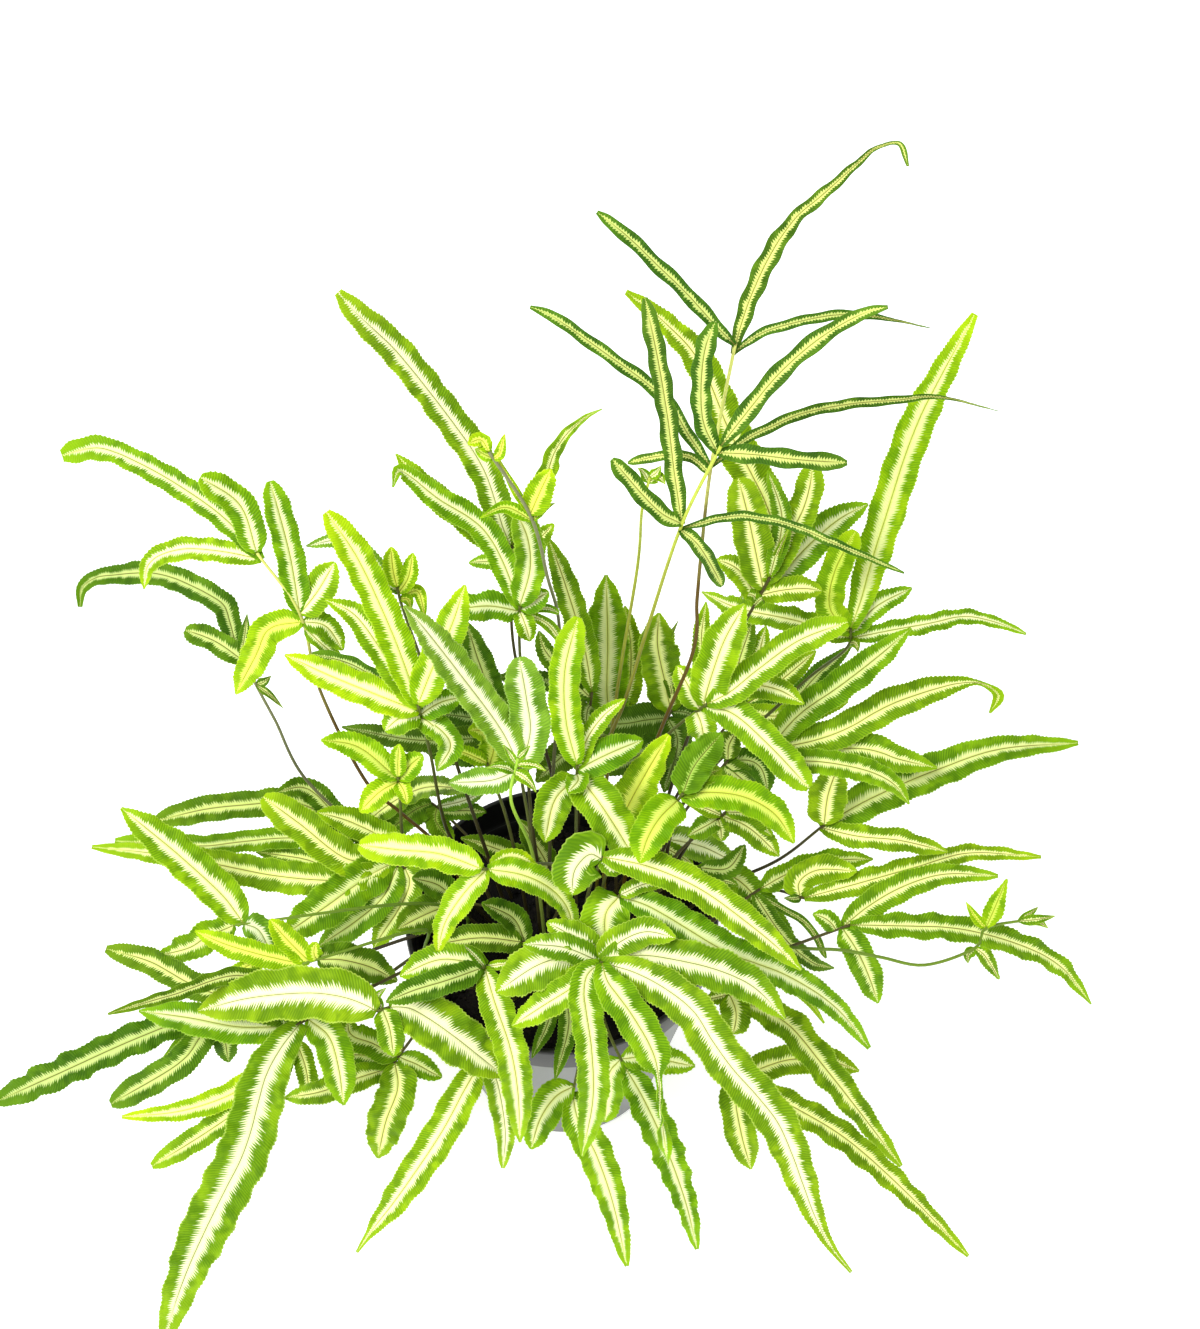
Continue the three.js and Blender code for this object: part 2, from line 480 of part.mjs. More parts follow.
      leaf(11, -8, 'ovate', 588, 945, 565, 932, 547, 922),
      leaf(10, 2, 'ovate', 565, 948, 523, 944))),
];

// ---- paths ----
function smoothPath(points) {
  return new THREE.CatmullRomCurve3(points, false, 'catmullrom', 0.5);
}

// Share of the path's flat length reached at each point.
function sharesAlong(points) {
  const shares = [0];
  for (let i = 1; i < points.length; i += 1) {
    shares.push(shares[i - 1] + Math.hypot(points[i].x - points[i - 1].x, points[i].y - points[i - 1].y));
  }
  return shares.map((share) => share / shares[shares.length - 1]);
}

const BLADE_SAMPLES = 12;
const ARCH_SHARE = 0.07;

// Midrib samples on the sheet: each has u, v, depth and the share of the blade's length.
function midribSamples(hub, blade) {
  const points = [new THREE.Vector3(hub.u, hub.v, hub.height)];
  for (let i = 0; i < blade.path.length; i += 2) {
    points.push(new THREE.Vector3(blade.path[i], blade.path[i + 1], 0));
  }
  const shares = sharesAlong(points);
  const tip = points[points.length - 1];
  const span = Math.hypot(tip.x - hub.u, tip.y - hub.v) * 0.4;
  points.forEach((point, i) => {
    const share = shares[i];
    point.z = hub.height + blade.rise * share ** 1.4 + 4 * ARCH_SHARE * span * share * (1 - share);
  });
  const curve = smoothPath(points);
  const samples = [];
  for (let i = 0; i <= BLADE_SAMPLES; i += 1) {
    const share = i / BLADE_SAMPLES;
    const point = curve.getPointAt(share);
    const depth = depthAtHeight(point.x, point.y, point.z);
    const half = halfWidth(blade, share) * SHEET_SCALE / depth;
    samples.push({ u: point.x, v: point.y, depth, share, half });
  }
  return samples;
}

// Half width along a blade, from a narrow foot to a point.
function halfWidth(blade, share) {
  const full = blade.width / 2;
  const foot = 0.5 + 0.4 * Math.min(1, share * 8);
  let outline = 0;
  if (blade.form === 'ovate') {
    outline = Math.sin(Math.PI * Math.min(1, 0.12 + 0.88 * share) ** 1.15) ** 0.7;
  } else if (blade.form === 'tail') {
    outline = share < 0.55 ? Math.min(1, share / 0.18) : Math.max(0.26, 1 - (share - 0.55) / 0.12);
  } else {
    outline = Math.min(1, (share / 0.28) ** 0.9, ((1 - share) / 0.42) ** 0.75);
  }
  return Math.max(foot * Math.min(1, 2.4 - 2 * share), full * outline);
}

// ---- layering ----
// Each frond is laid over the ones before it: where they overlap on the sheet, it is brought
// towards the eye point until it lies LAYER_GAP in front, by its hub first and then by each tip.
function liftRamp(share) {
  return share ** 1.3;
}

function clearanceNeeded(sample, laid) {
  let needed = 0;
  for (const other of laid) {
    const reach = sample.half + other.half + 4;
    if (Math.hypot(sample.u - other.u, sample.v - other.v) < reach) {
      needed = Math.max(needed, sample.depth + LAYER_GAP - other.depth);
    }
  }
  return needed;
}

function liftClear(blades, laid) {
  const needs = blades.map((samples) => samples.map((sample) => clearanceNeeded(sample, laid)));
  let hubNeed = 0;
  blades.forEach((samples, i) => samples.forEach((sample, j) => {
    const weight = sample.share < 0.3 ? 1 : 0.3;
    hubNeed = Math.max(hubNeed, needs[i][j] * weight);
  }));
  blades.forEach((samples, i) => {
    let tipNeed = 0;
    samples.forEach((sample, j) => {
      if (sample.share >= 0.3) {
        tipNeed = Math.max(tipNeed, (needs[i][j] - hubNeed) / liftRamp(sample.share));
      }
    });
    samples.forEach((sample) => {
      sample.depth -= hubNeed + tipNeed * liftRamp(sample.share);
    });
  });
  return hubNeed;
}

function layFronds() {
  const laid = [];
  return FRONDS.map((frondPlan) => {
    const blades = [];
    frondPlan.whorls.forEach((hub) => hub.leaves.forEach((blade) => {
      blades.push(midribSamples(hub, blade));
    }));
    const lift = liftClear(blades, laid);
    blades.forEach((samples) => laid.push(...samples));
    const hubs = frondPlan.whorls.map((hub) => (
      placeOnSight(hub.u, hub.v, depthAtHeight(hub.u, hub.v, hub.height) - lift)));
    const midribs = blades.map((samples) => samples.map((sample) => (
      placeOnSight(sample.u, sample.v, sample.depth))));
    return { plan: frondPlan, lift, hubs, midribs, leaves: frondPlan.whorls.flatMap((hub) => hub.leaves) };
  });
}

// ---- stems ----
// The feet stand in a spread cluster, each towards the side that its frond leans to.
function footPlaces(laidFronds) {
  const feet = laidFronds.map((laidFrond) => {
    const hub = laidFrond.hubs[0];
    const reach = Math.hypot(hub.x, hub.y);
    const radius = Math.min(50, 6 + 0.34 * reach);
    return new THREE.Vector2(hub.x / reach * radius, hub.y / reach * radius);
  });
  for (let round = 0; round < 60; round += 1) {
    for (let i = 0; i < feet.length; i += 1) {
      for (let j = i + 1; j < feet.length; j += 1) {
        const apart = feet[j].clone().sub(feet[i]);
        const distance = Math.max(0.01, apart.length());
        if (distance < CROWN_SPACING) {
          apart.multiplyScalar((CROWN_SPACING - distance) / distance / 2);
          feet[j].add(apart);
          feet[i].sub(apart);
        }
      }
    }
  }
  return feet;
}

// A stem stands upright in the soil, sways at its middle, passes its set points and joins its hubs.
// One that leaves the pot low goes over the rim first.
function stemPoints(laidFrond, foot, sway) {
  const { plan, hubs, lift } = laidFrond;
  const first = hubs[0];
  const root = new THREE.Vector3(foot.x, foot.y, SOIL_TOP - HOLE_DEPTH + 1);
  const neck = new THREE.Vector3(foot.x, foot.y, SOIL_TOP + 4);
  const passes = plan.passes.map(([u, v, height]) => (
    placeOnSight(u, v, depthAtHeight(u, v, height) - lift)));
  const away = Math.hypot(first.x, first.y);
  if (passes.length === 0 && away > OVER_RIM_RADIUS && first.z < POT_HEIGHT + 45) {
    const shrink = OVER_RIM_RADIUS / away;
    const height = Math.max(POT_HEIGHT + 10, first.z * 0.7 + POT_HEIGHT * 0.3 + 3);
    passes.push(new THREE.Vector3(first.x * shrink, first.y * shrink, height));
  }
  const next = passes.length > 0 ? passes[0] : first;
  const middle = neck.clone().lerp(next, 0.45);
  middle.z = Math.max(neck.z + 6, neck.z + (next.z - neck.z) * 0.62);
  return [root, neck, middle.add(sway), ...passes, ...hubs.map((hub) => hub.clone())];
}

// How far a stem would run through leaves, other stems and the pot's rim.
function crowding(points, ownIndex, laidFronds, stemSamples) {
  const samples = smoothPath(points).getSpacedPoints(STEM_CHECKS);
  let sum = 0;
  samples.forEach((sample) => {
    const radius = Math.hypot(sample.x, sample.y);
    if (radius > OVER_RIM_RADIUS - 6 && radius < POT_RIM_RADIUS + 3 && sample.z < POT_HEIGHT + 3) {
      sum += 2;
    }
    laidFronds.forEach((other, i) => {
      if (i !== ownIndex) {
        sum += other.patches.reduce((total, patch) => total + patchOverlap(sample, patch), 0);
      }
    });
    stemSamples.forEach((place) => {
      const apart = place.distanceTo(sample);
      if (sample.z > SOIL_TOP + 8 && apart < STEM_CLEAR) {
        sum += 1 - apart / STEM_CLEAR;
      }
    });
  });
  return sum;
}

function patchOverlap(sample, patch) {
  const apart = sample.clone().sub(patch.centre);
  const deep = Math.abs(apart.dot(patch.normal));
  if (deep > 5 || Math.abs(apart.dot(patch.across)) > patch.half + 2.5) {
    return 0;
  }
  return Math.abs(apart.dot(patch.along)) > patch.reach + 2 ? 0 : 1 - deep / 5;
}

// Patches that stand for a laid frond's leaves.
function leafPatches(laidFrond) {
  return laidFrond.midribs.flatMap((midrib, k) => midrib.slice(0, -1).map((start, i) => {
    const end = midrib[i + 1];
    const centre = start.clone().lerp(end, 0.5);
    const along = end.clone().sub(start);
    const reach = along.length() / 2;
    along.normalize();
    const across = new THREE.Vector3().crossVectors(facingAt(centre), along).normalize();
    const normal = new THREE.Vector3().crossVectors(along, across);
    const half = halfWidth(laidFrond.leaves[k], (i + 0.5) / BLADE_SAMPLES);
    return { centre, along, across, normal, reach, half };
  }));
}

// Leaves face the eye point, leaning a little to the sky.
function facingAt(place) {
  return EYE.clone().sub(place).normalize().addScaledVector(new THREE.Vector3(0, 0, 1), 0.3).normalize();
}

// Each stem takes the sway that runs clearest of the leaves and of the stems before it.
function swayStems(laidFronds, feet) {
  const stemSamples = [];
  laidFronds.forEach((laidFrond) => {
    laidFrond.patches = leafPatches(laidFrond);
  });
  return laidFronds.map((laidFrond, i) => {
    let best = null;
    for (const size of SWAY_SIZES) {
      for (let turn = 0; turn < (size > 0 ? SWAY_TURNS : 1); turn += 1) {
        const bearing = (turn / SWAY_TURNS) * Math.PI * 2;
        const sway = new THREE.Vector3(Math.cos(bearing), Math.sin(bearing), 0).multiplyScalar(size);
        const points = stemPoints(laidFrond, feet[i], sway);
        const cost = crowding(points, i, laidFronds, stemSamples) + size * 0.01;
        if (best === null || cost < best.cost) {
          best = { cost, points };
        }
      }
    }
    stemSamples.push(...smoothPath(best.points).getSpacedPoints(STEM_CHECKS));
    return best;
  });
}

// Leaves leave the stem in pairs, each pair a little below the last; this shifts their feet there.
function seatLeaves(laidFrond, points) {
  const curve = smoothPath(points);
  const hubCount = laidFrond.hubs.length;
  let first = 0;
  laidFrond.hubs.forEach((hub, h) => {
    const hubShare = (points.length - hubCount + h) / (points.length - 1);
    const forward = curve.getTangent(Math.min(hubShare, 0.999));
    const count = laidFrond.plan.whorls[h].leaves.length;
    const turns = [];
    for (let k = first; k < first + count; k += 1) {
      const start = laidFrond.midribs[k][2].clone().sub(laidFrond.midribs[k][0]);
      turns.push({ k, angle: start.angleTo(forward) });
    }
    turns.sort((a, b) => a.angle - b.angle);
    turns.forEach(({ k }, rank) => {
      const level = h === hubCount - 1 ? Math.ceil(rank / 2) : Math.floor(rank / 2);
      let share = hubShare;
      while (curve.getPoint(share).distanceTo(hub) < level * ROOT_STEP) {
        share -= 0.002;
      }
      const shift = curve.getPoint(share).sub(hub);
      laidFrond.midribs[k].forEach((place, i) => {
        place.addScaledVector(shift, (1 - i / BLADE_SAMPLES) ** 2);
      });
    });
    first += count;
  });
}

// ---- solids ----
function toSolid(geometry) {
  const bare = geometry.clone();
  bare.deleteAttribute('normal');
  bare.deleteAttribute('uv');
  const merged = mergeVertices(bare, 1e-4);
  return new wasm.Manifold(new wasm.Mesh({
    numProp: 3,
    vertProperties: new Float32Array(merged.attributes.position.array),
    triVerts: new Uint32Array(merged.index.array),
  }));
}

function toMesh(solid, name, look) {
  const { vertProperties, triVerts } = solid.getMesh();
  const geometry = new THREE.BufferGeometry();
  geometry.setAttribute('position', new THREE.BufferAttribute(new Float32Array(vertProperties), 3));
  geometry.setIndex(new THREE.BufferAttribute(new Uint32Array(triVerts), 1));
  geometry.computeVertexNormals();
  const mesh = new THREE.Mesh(geometry, new THREE.MeshStandardMaterial(look));
  mesh.name = name;
  return mesh;
}

// The underside of a slab gets the same diagonals as its top, so a waved slab never pinches.
function matchDiagonals(box) {
  const underside = box.groups[3];
  const index = box.index.array;
  for (let i = underside.start; i < underside.start + underside.count; i += 6) {
    const [a, b, d] = [index[i], index[i + 1], index[i + 2]];
    const c = index[i + 4];
    index.set([a, b, c, a, c, d], i);
  }
}

function bladeRows(midrib) {
  let length = 0;
  for (let i = 1; i < midrib.length; i += 1) {
    length += midrib[i].distanceTo(midrib[i - 1]);
  }
  return THREE.MathUtils.clamp(Math.round(length / BLADE_PITCH), 2, 6);
}

function bladeGeometry(midrib, blade) {
  const columns = blade.width > FOLDED_WIDTH ? 2 : 1;
  const rows = bladeRows(midrib);
  const slab = new THREE.BoxGeometry(1, 1, 1, columns, 1, rows);
  matchDiagonals(slab);
  const curve = smoothPath(midrib);
  const places = slab.attributes.position;
  for (let i = 0; i < places.count; i += 1) {
    const row = Math.round((places.getZ(i) + 0.5) * rows);
    const share = row / rows;
    const side = places.getX(i) * 2;
    const level = places.getY(i);
    const centre = curve.getPoint(share);
    const { across, normal } = bladeFrame(curve, share);
    const notch = row % 2 === 0 ? 0.94 : 1.06;
    const half = halfWidth(blade, share) * (row > 0 && row < rows ? notch : 1);
    const wave = waveHeight(blade, row, side);
    const lift = BLADE_FOLD * half * Math.abs(side) + wave + level * BLADE_THICKNESS;
    const point = centre.addScaledVector(across, side * half).addScaledVector(normal, lift);
    places.setXYZ(i, point.x, point.y, point.z);
  }
  return slab;
}

function waveHeight(blade, row, side) {
  if (side === 0 || row === 0) {
    return 0;
  }
  const size = blade.form === 'wavy' || blade.form === 'narrow' ? 0.11 : 0.06;
  return size * blade.width * (row % 2 === 0 ? 1 : -1) * Math.sign(side);
}

function bladeFrame(curve, share) {
  const before = curve.getPoint(Math.max(0, share - 0.02));
  const after = curve.getPoint(Math.min(1, share + 0.02));
  const along = after.sub(before).normalize();
  const across = new THREE.Vector3().crossVectors(facingAt(curve.getPoint(share)), along).normalize();
  const normal = new THREE.Vector3().crossVectors(along, across).normalize();
  return { across, normal };
}

function stemGeometry(points, radius) {
  const outline = new THREE.Shape();
  for (let i = 0; i < STEM_SIDES; i += 1) {
    const angle = (i / STEM_SIDES) * Math.PI * 2;
    const corner = [radius * Math.cos(angle), radius * Math.sin(angle)];
    if (i === 0) {
      outline.moveTo(...corner);
    } else {
      outline.lineTo(...corner);
    }
  }
  const path = smoothPath(points);
  const steps = Math.max(2, Math.round(path.getLength() / STEM_PITCH));
  return new THREE.ExtrudeGeometry(outline, { steps, extrudePath: path, curveSegments: 1 });
}

function buildFrond(laidFrond, points) {
  const solids = laidFrond.leaves.map((blade, i) => toSolid(bladeGeometry(laidFrond.midribs[i], blade)));
  const stem = toSolid(stemGeometry(points, STEM_RADIUS));
  return largestPiece(solids.reduce((whole, solid) => whole.add(solid), stem));
}

// Drops the skin of any small hollow that the joined leaf feet seal.
function largestPiece(solid) {
  const pieces = solid.decompose();
  return pieces.reduce((largest, piece) => (piece.volume() > largest.volume() ? piece : largest));
}

// ---- pot ----
function buildPot() {
  const slope = (POT_RIM_RADIUS - RIM_STEP - POT_BASE_RADIUS) / (POT_HEIGHT - RIM_BAND);
  const wallTop = POT_HEIGHT - RIM_BAND;
  const innerBase = POT_BASE_RADIUS - POT_WALL + slope * POT_FLOOR;
  const innerTop = POT_RIM_RADIUS - RIM_STEP - POT_WALL;
  const profile = [
    [0, 0],
    [POT_BASE_RADIUS, 0],
    [POT_RIM_RADIUS - RIM_STEP - 0.4, wallTop - 1.2],
    [POT_RIM_RADIUS - 1.6, wallTop],
    [POT_RIM_RADIUS, POT_HEIGHT - 1.4],
    [POT_RIM_RADIUS - 0.6, POT_HEIGHT],
    [POT_RIM_RADIUS - 2.4, POT_HEIGHT],
    [POT_RIM_RADIUS - 3.6, wallTop + 1],
    [innerTop, wallTop - 2],
    [innerBase, POT_FLOOR],
    [0, POT_FLOOR],
  ].map(([radius, height]) => new THREE.Vector2(radius, height));
  const shell = new THREE.LatheGeometry(profile, POT_FACETS);
  shell.rotateX(Math.PI / 2);
  let pot = toSolid(shell);
  for (let i = 0; i < DRAIN_COUNT; i += 1) {
    const angle = (i / DRAIN_COUNT) * Math.PI * 2;
    const drain = new THREE.CylinderGeometry(DRAIN_RADIUS, DRAIN_RADIUS, POT_FLOOR * 3, 8);
    drain.rotateX(Math.PI / 2);
    drain.translate(DRAIN_CIRCLE * Math.cos(angle), DRAIN_CIRCLE * Math.sin(angle), 0);
    pot = pot.subtract(toSolid(drain));
  }
  return pot;
}

function buildSoil(stems) {
  const slope = (POT_RIM_RADIUS - RIM_STEP - POT_BASE_RADIUS) / (POT_HEIGHT - RIM_BAND);
  const inner = (height) => POT_BASE_RADIUS - POT_WALL + slope * height - GAP * 2;
  const profile = [
    [0, POT_FLOOR + GAP],
    [inner(POT_FLOOR), POT_FLOOR + GAP],
    [inner(SOIL_TOP - 4), SOIL_TOP - 4],
    [inner(SOIL_TOP - 4) - 6, SOIL_TOP - 1],
    [0, SOIL_TOP],
  ].map(([radius, height]) => new THREE.Vector2(radius, height));
  const plug = new THREE.LatheGeometry(profile, POT_FACETS / 2);
  plug.rotateX(Math.PI / 2);
  let soil = toSolid(plug);
  stems.forEach((points) => {
    const hole = stemGeometry(points, HOLE_RADIUS);
    hole.translate(0, 0, -2 * GAP);
    soil = soil.subtract(toSolid(hole));
  });
  return soil;
}

// ---- the plant ----
const fern = new THREE.Group();
const laidFronds = layFronds();
const stems = swayStems(laidFronds, footPlaces(laidFronds)).map((stem) => stem.points);
laidFronds.forEach((laidFrond, i) => seatLeaves(laidFrond, stems[i]));
fern.add(toMesh(buildPot(), 'pot', { color: POT_COLOUR, roughness: 0.45, metalness: 0 }));
fern.add(toMesh(buildSoil(stems), 'soil', { color: SOIL_COLOUR, roughness: 0.95, metalness: 0 }));
laidFronds.forEach((laidFrond, i) => {
  const look = { color: LEAF_COLOURS[laidFrond.plan.tone], roughness: 0.5, metalness: 0 };
  fern.add(toMesh(buildFrond(laidFrond, stems[i]), laidFrond.plan.name, look));
});

export default fern;
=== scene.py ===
import bpy
import bmesh
import math
import random
from functools import partial
import numpy as np
from mathutils import Matrix, Vector, noise


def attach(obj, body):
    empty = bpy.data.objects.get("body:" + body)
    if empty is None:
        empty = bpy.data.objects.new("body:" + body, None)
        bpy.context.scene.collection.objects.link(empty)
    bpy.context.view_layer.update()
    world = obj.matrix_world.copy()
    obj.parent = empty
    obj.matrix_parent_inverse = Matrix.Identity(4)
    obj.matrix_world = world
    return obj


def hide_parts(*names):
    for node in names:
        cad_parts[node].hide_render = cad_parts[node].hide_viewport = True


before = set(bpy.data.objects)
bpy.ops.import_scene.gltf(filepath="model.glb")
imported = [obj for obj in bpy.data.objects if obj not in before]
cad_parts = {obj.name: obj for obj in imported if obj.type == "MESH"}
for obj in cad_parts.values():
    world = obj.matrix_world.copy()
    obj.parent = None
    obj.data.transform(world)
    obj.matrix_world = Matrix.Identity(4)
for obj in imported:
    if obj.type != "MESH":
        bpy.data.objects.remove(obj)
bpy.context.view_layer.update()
print("frame loaded,", len(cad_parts), "nodes")

sheet = {
    "eye": (17.0, -525.0, 945.0),  # mm, where the drawing sheet is seen from
    "pitch": 51.0,  # degrees below level
    "scale": 2178.0,
    "middle": (600.0, 664.5),
    "size": (1200, 1329),
}
potShape = {
    "height": 120.0, "rimRadius": 70.0, "baseRadius": 46.0, "wall": 1.8, "floor": 2.6,
    "rimBand": 16.0, "rimStep": 3.2, "drains": 6, "drainRadius": 4.0, "drainCircle": 32.0,
    "facets": 144, "rounding": 0.7,
}
soilShape = {  # mm, apart from the counts
    "top": 102.0, "holeDepth": 12.0, "shoulder": 4.0, "dome": 3.6, "bottom": 2.9,
    "coarse": 1.6, "fine": 1.1, "highest": 4.4, "sides": 120, "rows": 64,
    "crumbs": 900, "least": 0.7, "larger": 1.9, "seed": 11,
}
layering = {
    "gap": 7.0, "margin": 4.0,  # mm between two layers, sheet points round a leaf
    "samples": 12, "arch": 0.07, "pointSize": 0.4,  # along a leaf, and mm to a sheet point
    "hubPart": 0.3, "tipWeight": 0.3,  # the part of a leaf that moves with its hub
}
stemLaying = {  # mm, apart from the shares and counts
    "footNear": 6, "footShare": 0.34, "footMost": 50, "crownSpacing": 6.5, "spreadRounds": 60,
    "rootRise": 1, "neckRise": 4, "overRim": 66.0, "lowHub": 45, "overRise": 10,
    "middleShare": 0.45, "middleRise": 0.62, "checks": 36, "clear": 4.0, "leafClear": 5,
    "swaySizes": (0, 5, 10, 15, 20, 26), "swayTurns": 12, "swayCost": 0.01, "rootStep": 3.2,
    "searchStep": 0.002, "nearBy": 22, "insideRim": 6, "outsideRim": 3, "rimCost": 2.0,
    "leafAside": 2.5, "leafAlong": 2, "aboveSoil": 8,
}

outlines = {  # half width along a leaf, as shares of its length and of its half width
    "ovate": ((0, 0.1), (0.05, 0.55), (0.14, 0.86), (0.3, 1), (0.6, 0.97), (0.8, 0.74), (0.93, 0.4),
              (1, 0.04)),
    "lance": ((0, 0.25), (0.04, 0.6), (0.12, 0.92), (0.25, 1), (0.62, 0.98), (0.8, 0.76), (0.92, 0.44),
              (1, 0.04)),
    "blunt": ((0, 0.25), (0.05, 0.65), (0.15, 0.93), (0.3, 1), (0.8, 0.94), (0.92, 0.72), (0.98, 0.44),
              (1, 0.16)),
    "slender": ((0, 0.25), (0.05, 0.65), (0.15, 0.95), (0.3, 1), (0.5, 0.94), (0.7, 0.72), (0.86, 0.5),
                (0.95, 0.32), (1, 0.1)),
    "strap": ((0, 0.3), (0.05, 0.6), (0.2, 0.95), (0.4, 1), (0.66, 0.95), (0.78, 0.72), (0.88, 0.58),
              (0.95, 0.38), (1, 0.16)),
    "drawn": ((0, 0.25), (0.05, 0.65), (0.15, 0.95), (0.35, 1), (0.6, 0.94), (0.74, 0.74), (0.84, 0.44),
              (0.91, 0.22), (1, 0.08)),
    "ribbon": ((0, 0.3), (0.1, 0.85), (0.25, 1), (0.7, 0.9), (0.85, 0.62), (0.95, 0.5), (1, 0.15)),
    "lobed": ((0, 0.25), (0.06, 0.7), (0.2, 0.98), (0.5, 1), (0.78, 0.9), (0.84, 1.1), (0.9, 0.86),
              (0.95, 1.05), (1, 0.4)),
    "young": ((0, 0.15), (0.12, 0.7), (0.3, 1), (0.55, 0.8), (0.8, 0.42), (1, 0.04)),
    "narrow": ((0, 0.3), (0.08, 0.8), (0.2, 0.96), (0.5, 1), (0.85, 0.92), (0.95, 0.7), (1, 0.2)),
    "hair": ((0, 0.3), (0.1, 0.85), (0.25, 1), (0.5, 1), (0.65, 0.82), (0.76, 0.5), (0.84, 0.24), (1, 0.06)),
    "hook": ((0, 0.25), (0.1, 0.8), (0.28, 1), (0.42, 0.92), (0.48, 0.66), (0.56, 0.7), (0.74, 0.42),
             (0.84, 0.2), (0.9, 0.16), (0.94, 0.34), (0.98, 0.3), (1, 0.05)),
    "twist": ((0, 0.25), (0.08, 0.75), (0.2, 0.98), (0.5, 1), (0.66, 0.8), (0.76, 0.42), (0.82, 0.14),
              (0.87, 0.16), (0.93, 0.4), (1, 0.04)),
    "tail": ((0, 0.3), (0.06, 0.7), (0.16, 1), (0.44, 0.98), (0.52, 0.8), (0.56, 0.2), (0.66, 0.12),
             (0.76, 0.3), (0.86, 0.44), (0.94, 0.34), (1, 0.03)),
}


# a leaf has its width and the rise of its tip in mm, then the sheet points of its midrib
def leaf(form, width, rise, *path, outline=None, tone=None):
    usual = form if form in outlines else "lance"
    return {"form": form, "width": width, "rise": rise, "path": path,
            "outline": outline or usual, "tone": tone}


leafForms = ("lance", "ovate", "wavy", "young", "narrow", "tail")
lance, ovate, wavy, young, narrow, tail = (partial(leaf, form) for form in leafForms)


def whorl(u, v, height, *leaves):  # sheet point, height in mm
    return {"u": u, "v": v, "height": height, "leaves": leaves}


def frond(name, tone, passes, *whorls, stem=None):  # the stem goes by its passes: sheet points and heights
    return {"name": "frond_" + name, "tone": tone, "passes": passes, "whorls": whorls, "stem": stem}


